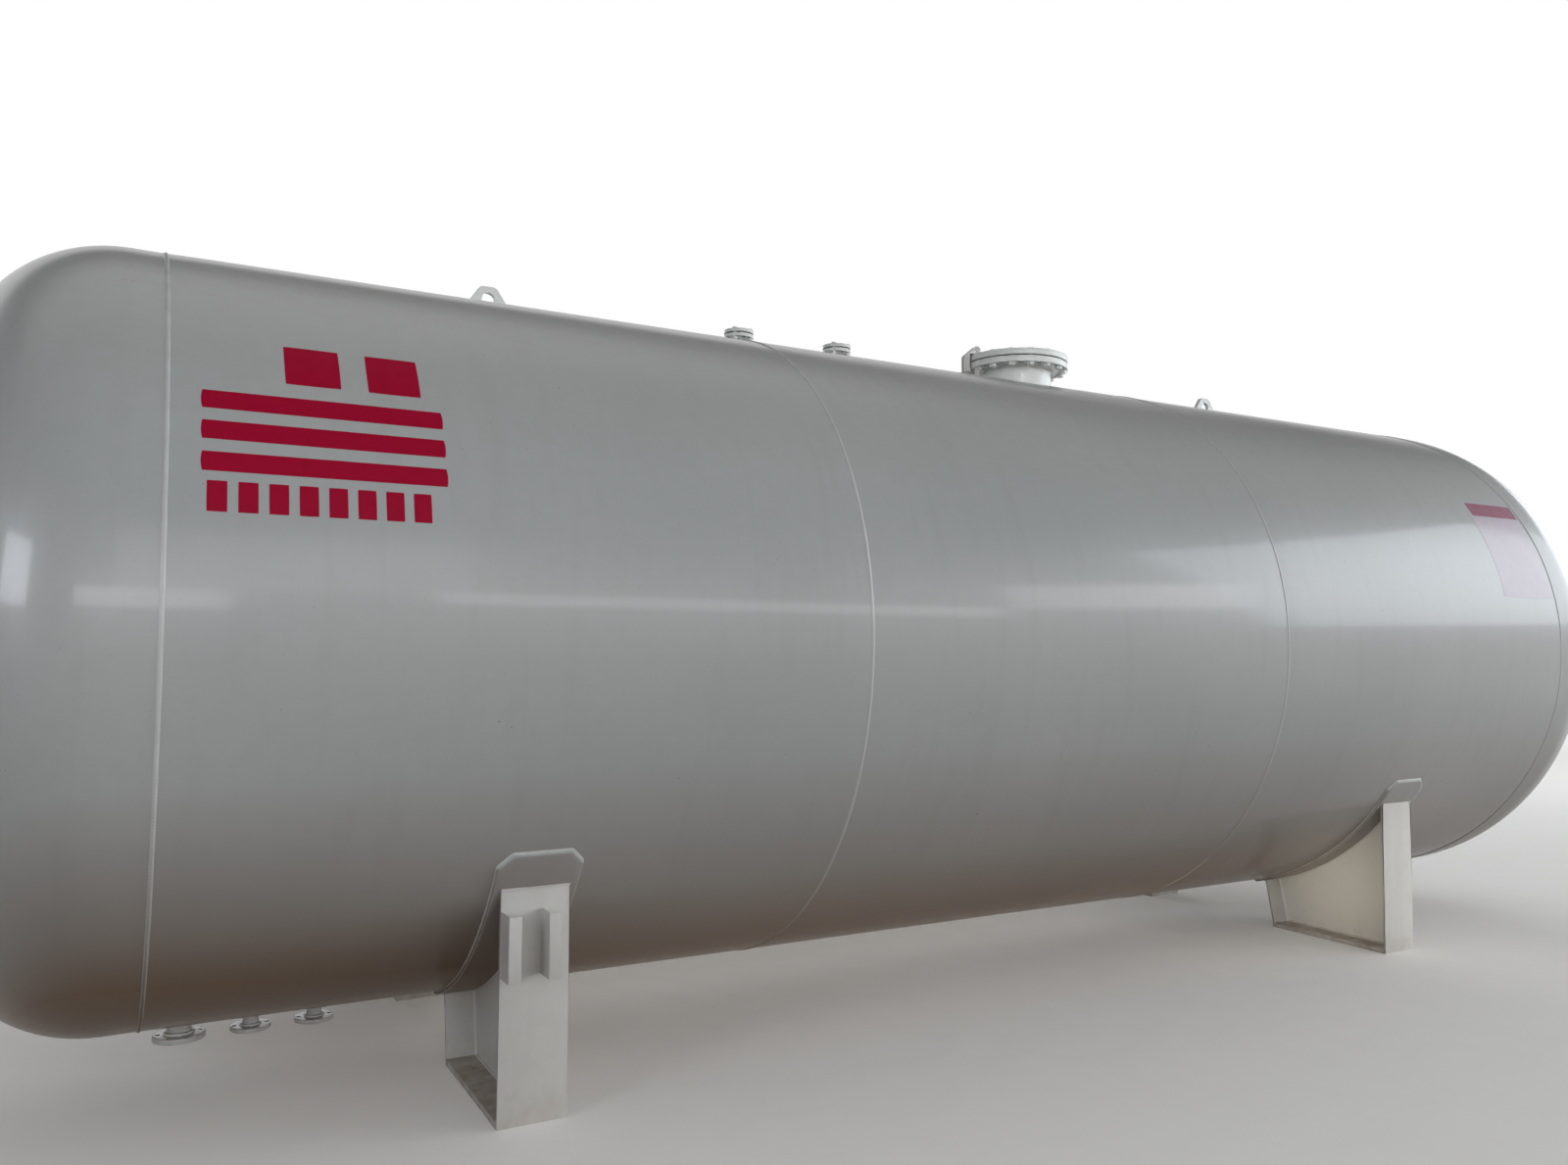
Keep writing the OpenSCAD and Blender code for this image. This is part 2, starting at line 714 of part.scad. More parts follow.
color(leg_paint) place(left, front) leg_inner_plate();  // leg_inner_plate_left_front
color(leg_paint) place(left, rear) leg_inner_plate();  // leg_inner_plate_left_rear
color(leg_paint) place(right, front) leg_inner_plate();  // leg_inner_plate_right_front
color(leg_paint) place(right, rear) leg_inner_plate();  // leg_inner_plate_right_rear
color(leg_paint) place(left, front) base_plate();  // base_plate_left_front
color(leg_paint) place(left, rear) base_plate();  // base_plate_left_rear
color(leg_paint) place(right, front) base_plate();  // base_plate_right_front
color(leg_paint) place(right, rear) base_plate();  // base_plate_right_rear
plate_bracket();
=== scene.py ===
# Looks of a long pressure tank on four plate legs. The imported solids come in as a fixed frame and
# the surfaces below stand for them. Metres, +X along the tank, -Y the front, +Z up.
import math
import bmesh
import bpy
import numpy as np
from mathutils import Matrix, Vector


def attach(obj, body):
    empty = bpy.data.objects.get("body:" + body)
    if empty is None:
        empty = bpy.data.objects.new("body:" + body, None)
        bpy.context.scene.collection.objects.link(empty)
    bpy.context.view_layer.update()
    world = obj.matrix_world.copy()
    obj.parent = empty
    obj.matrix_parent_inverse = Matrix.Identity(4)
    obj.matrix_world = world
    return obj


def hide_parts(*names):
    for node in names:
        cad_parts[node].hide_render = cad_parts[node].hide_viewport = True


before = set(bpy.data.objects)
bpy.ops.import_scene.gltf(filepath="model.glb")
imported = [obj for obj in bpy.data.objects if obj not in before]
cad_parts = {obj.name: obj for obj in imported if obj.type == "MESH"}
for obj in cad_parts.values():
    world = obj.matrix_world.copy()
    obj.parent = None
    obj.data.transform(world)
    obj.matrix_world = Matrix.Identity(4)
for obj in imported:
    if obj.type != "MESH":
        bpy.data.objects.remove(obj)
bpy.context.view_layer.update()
print("frame loaded,", len(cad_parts), "nodes")

# camera, fitted to the seams and outlines of the photograph
photoCamera = {"place": (-3.758, -5.26807, 1.66016), "lens": 26.971, "yaw": 29.42, "pitch": 3.156, "roll": -0.324}


def makeCamera(settings):
    yaw, pitch, roll = (math.radians(settings[k]) for k in ("yaw", "pitch", "roll"))
    forward = Vector((math.sin(yaw) * math.cos(pitch), math.cos(yaw) * math.cos(pitch), math.sin(pitch)))
    level = Vector((math.cos(yaw), -math.sin(yaw), 0))
    down = forward.cross(level)
    right = math.cos(roll) * level + math.sin(roll) * down
    down = math.cos(roll) * down - math.sin(roll) * level
    data = bpy.data.cameras.new("photoCamera")
    data.sensor_fit = "HORIZONTAL"
    data.sensor_width = 36
    data.lens = settings["lens"]
    data.clip_end = 200
    camera = bpy.data.objects.new("photoCamera", data)
    bpy.context.scene.collection.objects.link(camera)
    turn = Matrix((right, -down, -forward)).transposed()
    camera.matrix_world = Matrix.Translation(settings["place"]) @ turn.to_4x4()
    bpy.context.scene.camera = camera


makeCamera(photoCamera)


# A part is (points, [faces]), where each array of faces holds faces with equally many corners.

# Faces of a grid of points: every cell between two rows and two columns is one face.
def gridFaces(rows, columns, wrapRows, wrapColumns, keep):
    i = np.arange(rows if wrapRows else rows - 1)[:, None]
    j = np.arange(columns if wrapColumns else columns - 1)[None, :]
    below, beside = (i + 1) % rows, (j + 1) % columns
    cells = np.stack([i * columns + j, below * columns + j, below * columns + beside, i * columns + beside], -1)
    return cells[keep] if keep is not None else cells.reshape(-1, 4)


# A grid of points (rows, columns, 3) as a part.
def gridPart(grid, wrapRows=False, wrapColumns=False, caps=False, keep=None):
    rows, columns = grid.shape[:2]
    faces = [gridFaces(rows, columns, wrapRows, wrapColumns, keep)]
    if caps:  # one flat face at the first row and one at the last
        faces += [np.arange(columns)[None, ::-1], (rows - 1) * columns + np.arange(columns)[None, :]]
    return grid.reshape(-1, 3), faces


def joinParts(parts):
    starts = np.cumsum([0] + [len(points) for points, faces in parts])
    return (np.concatenate([points for points, faces in parts]),
            [f + start for (points, faces), start in zip(parts, starts) for f in faces])


# Copies of a part: each is turned about the upright line through the part's origin, then moved.
def copyPart(part, turns, shifts):
    points, faces = part
    turns, shifts = np.asarray(turns, float)[:, None], np.asarray(shifts, float)[:, None, :]
    x, y, z = points.T
    moved = np.stack([x * np.cos(turns) - y * np.sin(turns), x * np.sin(turns) + y * np.cos(turns),
                      np.broadcast_to(z, (len(turns), len(z)))], -1) + shifts
    offsets = np.arange(len(turns))[:, None, None] * len(points)
    return moved.reshape(-1, 3), [(f[None] + offsets).reshape(-1, f.shape[1]) for f in faces]


def mirrorPart(part, signX, signY):
    return part[0] * np.array([signX, signY, 1]), part[1]


# A part set down at a place, upside down if flipped.
def placePart(part, place, flip=False):
    return part[0] * np.array([1, 1, -1 if flip else 1]) + np.array(place), part[1]


# Border of a grid of points as one loop, and the same loop put back into a grid.
def borderOf(grid):
    return np.concatenate([grid[0, :-1], grid[:-1, -1], grid[-1, :0:-1], grid[:0:-1, 0]])


def setBorder(grid, loop):
    rows, columns = grid.shape[:2]
    first, second, third = columns - 1, columns + rows - 2, 2 * columns + rows - 3
    grid[0, :-1], grid[:-1, -1] = loop[:first], loop[first:second]
    grid[-1, :0:-1], grid[:0:-1, 0] = loop[second:third], loop[third:]


# Joins points that fall together, drops cells that shrank to nothing, and makes cells with two
# equal corners triangles.
def cleanPart(part):
    points, faceSets = part
    first, where = np.unique(np.round(points, 6), axis=0, return_index=True, return_inverse=True)[1:]
    where = where.reshape(-1)
    clean = []
    for faces in faceSets:
        faces = where[faces]
        doubled = faces == np.roll(faces, -1, axis=1)
        for lost in range(0, faces.shape[1] - 2):
            rows = doubled.sum(1) == lost
            if rows.any():
                clean.append(faces[rows][~doubled[rows]].reshape(rows.sum(), faces.shape[1] - lost))
    return points[first], clean


# Puts a part into the scene as a piece that stands for CAD nodes, its faces turned outwards. Edges
# sharper than the angle stay sharp.
def addPiece(name, parts, material, nodes=(), sharp=36):
    points, faceSets = cleanPart(joinParts(parts if isinstance(parts, list) else [parts]))
    mesh = bpy.data.meshes.new(name)
    corners = np.concatenate([f.ravel() for f in faceSets]).astype(np.int32)
    sizes = np.concatenate([np.full(len(f), f.shape[1]) for f in faceSets]).astype(np.int32)
    mesh.vertices.add(len(points))
    mesh.vertices.foreach_set("co", points.astype(np.float32).ravel())
    mesh.loops.add(len(corners))
    mesh.loops.foreach_set("vertex_index", corners)
    mesh.polygons.add(len(sizes))
    mesh.polygons.foreach_set("loop_start", (np.cumsum(sizes) - sizes).astype(np.int32))
    mesh.update(calc_edges=True)
    work = bmesh.new()
    work.from_mesh(mesh)
    bmesh.ops.recalc_face_normals(work, faces=work.faces)
    work.to_mesh(mesh)
    work.free()
    mesh.polygons.foreach_set("use_smooth", np.ones(len(mesh.polygons), bool))
    mesh.set_sharp_from_angle(angle=math.radians(sharp))
    mesh.materials.append(material)
    piece = bpy.data.objects.new(name, mesh)
    bpy.context.scene.collection.objects.link(piece)
    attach(piece, "root")
    if nodes:
        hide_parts(*([nodes] if isinstance(nodes, str) else nodes))
    return piece


# Rounds the corners of an outline (points, 2). Each corner gives way to a short arc: a blend of
# the second degree between points a little before and after it, with a point on each straight
# side next to the arc, so that the flat sides keep their own shading.
def softCorners(outline, reach, closed=True):
    outline = np.asarray(outline, float)
    before, after = np.roll(outline, 1, 0) - outline, np.roll(outline, -1, 0) - outline
    lengths = [np.linalg.norm(v, axis=1, keepdims=True) for v in (before, after)]
    reach = np.broadcast_to(np.asarray(reach, float).reshape(-1, 1), (len(outline), 1))
    reach = np.minimum(reach, 0.3 * np.minimum(*lengths))
    before, after = before / lengths[0] * reach, after / lengths[1] * reach
    t = np.array([0.0, 0.35, 0.65, 1.0])[None, :, None]
    arc = outline[:, None] + (1 - t) ** 2 * before[:, None] + t ** 2 * after[:, None]
    rows = np.concatenate([(outline + 1.6 * before)[:, None], arc, (outline + 1.6 * after)[:, None]], 1)
    if closed:
        return rows.reshape(-1, 2)
    return np.concatenate([outline[:1], rows[1:-1].reshape(-1, 2), outline[-1:]])


# Moves the points of a closed outline inwards by a distance, square to its sides.
def insetOutline(outline, distance):
    side = np.roll(outline, -1, 0) - outline
    side = side / np.maximum(np.linalg.norm(side, axis=1, keepdims=True), 1e-9)
    normal = np.stack([-side[:, 1], side[:, 0]], 1)
    x, y = outline.T
    normal *= np.sign(np.sum(x * np.roll(y, -1) - y * np.roll(x, -1)))
    both = normal + np.roll(normal, 1, 0)
    return outline + distance * both / np.maximum(1 + (normal * np.roll(normal, 1, 0)).sum(1, keepdims=True), 0.4)


# Plate: its outline is carried through the thickness, drawn in near both faces so that the edges
# are round, and closed by a flat face on either side. The axes say what (u, v, thickness) become.
def plate(outline, low, high, axes, edge=0.0015, corner=0.002):
    outline = softCorners(outline, corner)
    inset = edge * np.array([3.0, 1.0, 0.3, 0.0, 0.0, 0.3, 1.0, 3.0])
    height = np.array([low, low, low + 0.3 * edge, low + edge, high - edge, high - 0.3 * edge, high, high])
    flat = np.stack([insetOutline(outline, d) for d in inset])
    grid = np.zeros(flat.shape[:2] + (3,))
    grid[..., "XYZ".index(axes[0])] = flat[..., 0]
    grid[..., "XYZ".index(axes[1])] = flat[..., 1]
    grid[..., "XYZ".index(axes[2])] = height[:, None]
    return gridPart(grid, wrapColumns=True, caps=True)


# Turned surface: an outline of (radius, height) goes round an upright line. A closed outline makes
# a ring, and an outline from pole to pole makes a body.
def turned(outline, columns, ring=True):
    outline = np.asarray(outline, float)
    angle = 2 * np.pi * np.arange(columns) / columns
    radius, height = outline[:, :1], outline[:, 1:]
    height = np.broadcast_to(height, (len(outline), columns))
    grid = np.stack([radius * np.cos(angle), radius * np.sin(angle), height], -1)
    return gridPart(grid, wrapRows=ring, wrapColumns=True)


def pathLength(path, closed):  # distance gone at each point of a path, and in all
    step = np.linalg.norm(np.roll(path, -1, 0) - path, axis=1)
    return np.concatenate([[0], np.cumsum(step[:-1])]), step.sum() if closed else step[:-1].sum()


# How the beads vary: shares of the width, height or leg, and metres for the rest
buttLook = {"pitch": 0.011, "scales": 0.16, "widthWander": 0.10, "heightWander": 0.06, "drift": 0.0006,
            "waves": (3, 7, 12, 25, 60), "sink": 0.0012, "fade": 0.012}
filletLook = {"pitch": 0.009, "bulge": 0.16, "scales": 0.35, "wander": 0.07, "waves": (9.0, 23, 41, 77),
              "sink": 0.12, "step": 0.003}


# Butt weld: a flat arc carried along a path, its height rising and falling in scales that trail
# behind at the edges. Height = rise (1 - v squared) (1 + ripple cos(2 pi (s / pitch - v squared / 3))).
def buttWeld(path, up, side, width, rise, seed, closed=True):
    s, total = pathLength(path, closed)
    laps = max(1, round(total / buttLook["pitch"]))
    v = np.linspace(-1, 1, 8)
    ripple = 1 + buttLook["scales"] * np.cos(2 * np.pi * (s[:, None] * laps / total - v ** 2 / 3))
    rng = np.random.default_rng(seed)
    waves = np.array(buttLook["waves"])
    wander = (np.cos(2 * np.pi * s[:, None] / total * waves + rng.uniform(0, 6.28, 5)) / 5).sum(1)
    half = width / 2 * (1 + buttLook["widthWander"] * wander)
    height = rise * (1 - v ** 2) * ripple * (1 - buttLook["heightWander"] * wander[:, None])
    across = half[:, None] * v + buttLook["drift"] * np.roll(wander, len(s) // 3)[:, None]
    height = np.concatenate([height, np.full((len(s), 2), -buttLook["sink"])], 1)
    across = np.concatenate([across, across[:, -1:] * 0.9, across[:, :1] * 0.9], 1)
    if not closed:  # the bead fades out at both ends
        fade = np.clip(np.minimum(s, total - s) / buttLook["fade"], 0.15, 1)[:, None]
        height, across = height * fade, across * fade
    grid = path[:, None] + up[:, None] * height[..., None] + side[:, None] * across[..., None]
    return gridPart(grid, wrapRows=closed, wrapColumns=True, caps=not closed)


# Fillet weld: a rounded three-cornered section carried along the corner of two plates. Its face
# goes from leg x first direction to leg x second direction, bulging in scales.
def filletWeld(corner, first, second, leg, seed, closed=False):
    s, total = pathLength(corner, closed)
    laps = max(1, round(total / filletLook["pitch"]))
    u = np.linspace(0, 1, 6)
    scales = 1 + filletLook["scales"] * np.cos(2 * np.pi * (s[:, None] * laps / total - u * (1 - u)))
    bulge = filletLook["bulge"] * 4 * u * (1 - u) * scales
    rng = np.random.default_rng(seed)
    waves = np.cos(s[:, None] * np.array(filletLook["waves"]) + rng.uniform(0, 6.28, 4))
    size = leg * (1 + filletLook["wander"] * (waves / 2).sum(1))
    sunk = np.full((len(s), 1), -filletLook["sink"])
    a = np.concatenate([(1 - u) + bulge, sunk], 1) * size[:, None]
    b = np.concatenate([u + bulge, sunk], 1) * size[:, None]
    grid = corner[:, None] + first[:, None] * a[..., None] + second[:, None] * b[..., None]
    return gridPart(grid, wrapRows=closed, wrapColumns=True, caps=not closed)


# Straight fillet between two points.
def straightFillet(start, end, first, second, leg, seed):
    start, end = np.asarray(start, float), np.asarray(end, float)
    count = max(8, int(np.linalg.norm(end - start) / filletLook["step"]))
    t = np.linspace(0, 1, count)[:, None]
    return filletWeld(start + t * (end - start), np.tile(first, (count, 1)).astype(float),
                      np.tile(second, (count, 1)).astype(float), leg, seed=seed)


# materials: everything reads object coordinates in metres
def newMaterial(name):
    material = bpy.data.materials.new(name)
    material.use_nodes = True
    tree = material.node_tree
    return material, tree, tree.nodes["Principled BSDF"]


def addNode(tree, kind, inputs=(), **settings):
    node = tree.nodes.new(kind)
    for key, value in settings.items():
        setattr(node, key, value)
    for key, value in dict(inputs).items():
        if isinstance(value, bpy.types.NodeSocket):
            tree.links.new(value, node.inputs[key])
        else:
            node.inputs[key].default_value = value
    return node


def noise(tree, place, scale, detail, stretch=(1, 1, 1)):
    moved = addNode(tree, "ShaderNodeMapping", {"Vector": place, "Scale": stretch})
    return addNode(tree, "ShaderNodeTexNoise", {"Vector": moved.outputs[0], "Scale": scale, "Detail": detail,
                                                "Roughness": 0.55}).outputs["Fac"]


def ramp(tree, value, low, high, to=(0.0, 1.0)):
    return addNode(tree, "ShaderNodeMapRange", {"Value": value, "From Min": low, "From Max": high,
                                                "To Min": to[0], "To Max": to[1]}).outputs[0]


def mixColour(tree, factor, first, second):
    node = tree.nodes.new("ShaderNodeMix")
    node.data_type = "RGBA"
    for socket, value in ((node.inputs[0], factor), (node.inputs[6], first), (node.inputs[7], second)):
        if isinstance(value, bpy.types.NodeSocket):
            tree.links.new(value, socket)
        else:
            socket.default_value = value if not isinstance(value, tuple) else (*value[:3], 1)
    return node.outputs[2]


def calc(tree, operation, a, b):
    node = tree.nodes.new("ShaderNodeMath")
    node.operation = operation
    for socket, value in zip(node.inputs, (a, b)):
        if isinstance(value, bpy.types.NodeSocket):
            tree.links.new(value, socket)
        else:
            socket.default_value = value
    return node.outputs[0]


# Grain of the paint, in waves a metre, and the depth of its bumps
paintGrain = {"clouds": 0.9, "mottle": 17, "runs": (11, 1.3, 1.3), "fine": 120, "specks": 55, "speckFields": 3.1,
              "waves": 4.5, "peel": 260, "waveDepth": 0.004, "peelDepth": 0.0006}


# Sprayed gloss paint: two close tones in broad clouds, runs down the sides, dust on what faces up
# (on the welds darker, as painted shade of their upper flanks), soil splashes low down, rust specks,
# and an orange-peel bump over slow waves of the plate. The belly turns towards the soil colour, more
# towards the left end and most on its lowest line, up to the right legs: some soil, and painted
# shade of the dark ground in shade below, which the belly takes its light from and mirrors.
def paintMaterial(name, look):
    material, tree, shader = newMaterial(name)
    place = tree.nodes.new("ShaderNodeTexCoord").outputs["Object"]
    normal = tree.nodes.new("ShaderNodeNewGeometry").outputs["Normal"]
    spot = addNode(tree, "ShaderNodeSeparateXYZ", {0: place})
    along, height = spot.outputs["X"], spot.outputs["Z"]
    upward = addNode(tree, "ShaderNodeSeparateXYZ", {0: normal}).outputs["Z"]
    clouds = noise(tree, place, paintGrain["clouds"], 3)
    mottle = noise(tree, place, paintGrain["mottle"], 4)
    runs = noise(tree, place, 1.0, 4, stretch=paintGrain["runs"])
    fine = noise(tree, place, paintGrain["fine"], 3)
    colour = mixColour(tree, ramp(tree, clouds, 0.35, 0.65), look["colour"], look["second"])
    colour = mixColour(tree, ramp(tree, mottle, 0.45, 0.75, (0, look["mottle"])), colour, look["shade"])
    colour = mixColour(tree, ramp(tree, runs, 0.52, 0.78, (0, look["runs"])), colour, look["shade"])
    # dust on what faces up; on the weld beads its darker colour also stands for painted shade of their upper flanks
    dustAndShadeMask = calc(tree, "MULTIPLY", ramp(tree, upward, 0.35, 0.95), ramp(tree, mottle, 0.3, 0.7, (0.3, look["dustAndShade"])))
    colour = mixColour(tree, dustAndShadeMask, colour, look["dustAndShadeColour"])
    low = calc(tree, "MULTIPLY", ramp(tree, height, look["splashTop"], 0.0),
               ramp(tree, mottle, 0.38, 0.72, (0.25, 1.0)))
    # painted shade on the belly and its lowest line: the down-facing paint darkens towards the soil colour, partly
    # soil and partly the shade of the ground below
    belly = calc(tree, "MULTIPLY", ramp(tree, upward, -0.3, -0.85), ramp(tree, along, -1.8, -3.8, look["belly"]))
    lowest = calc(tree, "MULTIPLY", ramp(tree, upward, -0.62, -0.92, (0, look["lowestLine"])),
                  ramp(tree, along, 2.2, 1.2))
    belly = calc(tree, "ADD", belly, lowest)
    low = calc(tree, "MAXIMUM", calc(tree, "MULTIPLY", low, look["splash"]), belly)
    colour = mixColour(tree, low, colour, look["soilAndShadeColour"])
    specks = ramp(tree, noise(tree, place, paintGrain["specks"], 2), look["speckFrom"], look["speckFrom"] + 0.03)
    specks = calc(tree, "MULTIPLY", specks, ramp(tree, noise(tree, place, paintGrain["speckFields"], 2), 0.5, 0.62))
    colour = mixColour(tree, specks, colour, look["rust"])
    tree.links.new(colour, shader.inputs["Base Color"])
    rough = calc(tree, "ADD", ramp(tree, fine, 0.3, 0.7, (look["rough"] - 0.03, look["rough"] + 0.05)),
                 calc(tree, "MULTIPLY", calc(tree, "ADD", dustAndShadeMask, low), 0.35))
    tree.links.new(rough, shader.inputs["Roughness"])
    waves = addNode(tree, "ShaderNodeBump", {
        "Strength": look["waveStrength"], "Distance": paintGrain["waveDepth"],
        "Height": noise(tree, place, paintGrain["waves"], 2)})
    peel = addNode(tree, "ShaderNodeBump", {
        "Strength": look["peelStrength"], "Distance": paintGrain["peelDepth"],
        "Height": noise(tree, place, paintGrain["peel"], 2), "Normal": waves.outputs[0]})
    tree.links.new(peel.outputs[0], shader.inputs["Normal"])
    shader.inputs["IOR"].default_value = 1.5
    shader.inputs["Coat Weight"].default_value = look["coat"]
    shader.inputs["Coat Roughness"].default_value = look["coatRough"]
    return material


tankPaint = paintMaterial("tankPaint", {
    "colour": (0.405, 0.415, 0.413), "second": (0.380, 0.392, 0.392), "shade": (0.325, 0.330, 0.322),
    "mottle": 0.16, "runs": 0.32, "dustAndShade": 0.55, "dustAndShadeColour": (0.36, 0.34, 0.30), "splashTop": 0.85, "splash": 0.45,
    "belly": (0.55, 0.95), "lowestLine": 0.45, "soilAndShadeColour": (0.16, 0.092, 0.046), "speckFrom": 0.745,
    "rust": (0.22, 0.10, 0.05), "rough": 0.30, "waveStrength": 0.12, "peelStrength": 0.12, "coat": 0.45,
    "coatRough": 0.09})
# Manhole, nozzles, bolts and lugs: the tank's white paint drawn lighter than tankPaint, painted light for the brighter
# light they stand in.
fittingPaintWithPaintedLight = paintMaterial("fittingPaintWithPaintedLight", {
    "colour": (0.720, 0.730, 0.712), "second": (0.685, 0.695, 0.680), "shade": (0.56, 0.56, 0.54),
    "mottle": 0.18, "runs": 0.20, "dustAndShade": 0.5, "dustAndShadeColour": (0.42, 0.39, 0.34), "splashTop": 0.3, "splash": 0.4,
    "belly": (0.0, 0.0), "lowestLine": 0.0, "soilAndShadeColour": (0.22, 0.155, 0.10), "speckFrom": 0.73,
    "rust": (0.24, 0.11, 0.05), "rough": 0.32, "waveStrength": 0.04, "peelStrength": 0.12, "coat": 0.30,
    "coatRough": 0.13})
# Legs, hinge and bracket: the tank's white paint drawn lighter than tankPaint, painted light for the more light they
# stand in. The feet are browner and darker towards the bottom.
legLookWithPaintedLight = {
    "colour": (0.625, 0.615, 0.590), "second": (0.595, 0.585, 0.560), "shade": (0.48, 0.455, 0.41),
    "mottle": 0.16, "runs": 0.22, "dustAndShade": 0.7, "dustAndShadeColour": (0.42, 0.35, 0.26), "splashTop": 0.14, "splash": 0.32,
    "belly": (0.0, 0.0), "lowestLine": 0.0, "soilAndShadeColour": (0.33, 0.25, 0.165), "speckFrom": 0.76,
    "rust": (0.30, 0.16, 0.08), "rough": 0.38, "waveStrength": 0.05, "peelStrength": 0.12, "coat": 0.22,
    "coatRough": 0.16}
legPaintWithPaintedLight = paintMaterial("legPaintWithPaintedLight", legLookWithPaintedLight)
footPaintWithPaintedLight = paintMaterial("footPaintWithPaintedLight", {**legLookWithPaintedLight, "splashTop": 0.3, "splash": 0.6, "soilAndShadeColour": (0.25, 0.18, 0.12)})
# Weld beads: the tank's own paint drawn lighter, a painted highlight of the bead, and darker where they face up,
# partly dust and partly painted shade of their upper flanks.
weldHighlightAndShadePaint = paintMaterial("weldHighlightAndShadePaint", {
    "colour": (0.560, 0.568, 0.562), "second": (0.520, 0.528, 0.523), "shade": (0.40, 0.40, 0.388),
    "mottle": 0.25, "runs": 0.15, "dustAndShade": 0.8, "dustAndShadeColour": (0.27, 0.265, 0.255), "splashTop": 0.85, "splash": 0.4,
    "belly": (0.50, 0.85), "lowestLine": 0.4, "soilAndShadeColour": (0.18, 0.115, 0.065), "speckFrom": 0.72,
    "rust": (0.24, 0.10, 0.045), "rough": 0.34, "waveStrength": 0.05, "peelStrength": 0.22, "coat": 0.30,
    "coatRough": 0.14})
# Fillet round the wear pads: dull, and mostly turned to a mottled soil colour, strongest where it faces down: soil and
# painted shade that dims the fillet's lit edge.
padWeldShadedPaint = paintMaterial("padWeldShadedPaint", {
    "colour": (0.520, 0.528, 0.520), "second": (0.485, 0.493, 0.487), "shade": (0.40, 0.40, 0.385),
    "mottle": 0.3, "runs": 0.15, "dustAndShade": 0.2, "dustAndShadeColour": (0.38, 0.35, 0.30), "splashTop": 0.92, "splash": 0.9,
    "belly": (1.3, 1.6), "lowestLine": 0.0, "soilAndShadeColour": (0.16, 0.092, 0.046), "speckFrom": 0.72,
    "rust": (0.22, 0.10, 0.045), "rough": 0.26, "waveStrength": 0.05, "peelStrength": 0.2, "coat": 0.0,
    "coatRough": 0.2})


# Bare steel of the pin: bluish scale with rust bloom and fine turning marks.
def steelMaterial(name, look):
    material, tree, shader = newMaterial(name)
    place = tree.nodes.new("ShaderNodeTexCoord").outputs["Object"]
    bloom = noise(tree, place, 42, 5)
    scale = noise(tree, place, 190, 3)
    colour = mixColour(tree, ramp(tree, scale, 0.35, 0.65), look["dark"], look["bright"])
    colour = mixColour(tree, ramp(tree, bloom, 0.52, 0.68, (0, 0.8)), colour, look["rust"])
    tree.links.new(colour, shader.inputs["Base Color"])
    tree.links.new(ramp(tree, bloom, 0.5, 0.68, (0.9, 0.1)), shader.inputs["Metallic"])
    marks = noise(tree, place, 600, 2, stretch=(0.12, 0.12, 1))
    bump = addNode(tree, "ShaderNodeBump", {"Strength": 0.2, "Distance": 0.0004, "Height": marks})
    tree.links.new(bump.outputs[0], shader.inputs["Normal"])
    tree.links.new(ramp(tree, bloom, 0.4, 0.7, (look["rough"], 0.85)), shader.inputs["Roughness"])
    return material


pinSteel = steelMaterial("pinSteel", {"bright": (0.55, 0.55, 0.54), "dark": (0.36, 0.36, 0.36),
                                      "rust": (0.26, 0.15, 0.09), "rough": 0.30})


# Pressed fibre gasket: near black with pale fibres and a dull grain.
def gasketMaterial(name):
    material, tree, shader = newMaterial(name)
    place = tree.nodes.new("ShaderNodeTexCoord").outputs["Object"]
    fibre = noise(tree, place, 240, 4, stretch=(1, 1, 5))
    colour = mixColour(tree, ramp(tree, fibre, 0.4, 0.75), (0.020, 0.021, 0.022), (0.075, 0.075, 0.072))
    tree.links.new(colour, shader.inputs["Base Color"])
    tree.links.new(ramp(tree, fibre, 0.3, 0.7, (0.75, 0.92)), shader.inputs["Roughness"])
    bump = addNode(tree, "ShaderNodeBump", {"Strength": 0.3, "Distance": 0.0004, "Height": fibre})
    tree.links.new(bump.outputs[0], shader.inputs["Normal"])
    return material


gasketFibre = gasketMaterial("gasketFibre")


# Film of marking paint or sheet: its tone and gloss mottle over a fine grain.
def filmMaterial(name, look):
    material, tree, shader = newMaterial(name)
    place = tree.nodes.new("ShaderNodeTexCoord").outputs["Object"]
    mottle = noise(tree, place, 22, 4)
    grain = noise(tree, place, 300, 2)
    toned = mixColour(tree, ramp(tree, mottle, 0.4, 0.75, (0, 0.6)), look["colour"], look["shade"])
    tree.links.new(toned, shader.inputs["Base Color"])
    tree.links.new(ramp(tree, mottle, 0.3, 0.7, (look["rough"], look["rough"] + 0.12)), shader.inputs["Roughness"])
    bump = addNode(tree, "ShaderNodeBump", {"Strength": 0.12, "Distance": 0.0004, "Height": grain})
    tree.links.new(bump.outputs[0], shader.inputs["Normal"])
    shader.inputs["Specular IOR Level"].default_value = look["shine"]
    shader.inputs["Coat Weight"].default_value = look["coat"]
    shader.inputs["Coat Roughness"].default_value = 0.12
    return material


crimsonFilm = filmMaterial("crimsonFilm", {"colour": (0.345, 0.0011, 0.027), "shade": (0.305, 0.0011, 0.023),
                                           "rough": 0.5, "shine": 0.12, "coat": 0.0})
fadedFilm = filmMaterial("fadedFilm", {"colour": (0.30, 0.078, 0.135), "shade": (0.27, 0.070, 0.120),
                                       "rough": 0.40, "shine": 0.3, "coat": 0.1})
paleFilm = filmMaterial("paleFilm", {"colour": (0.475, 0.400, 0.465), "shade": (0.445, 0.375, 0.435),
                                     "rough": 0.30, "shine": 0.5, "coat": 0.35})
print("materials ready")

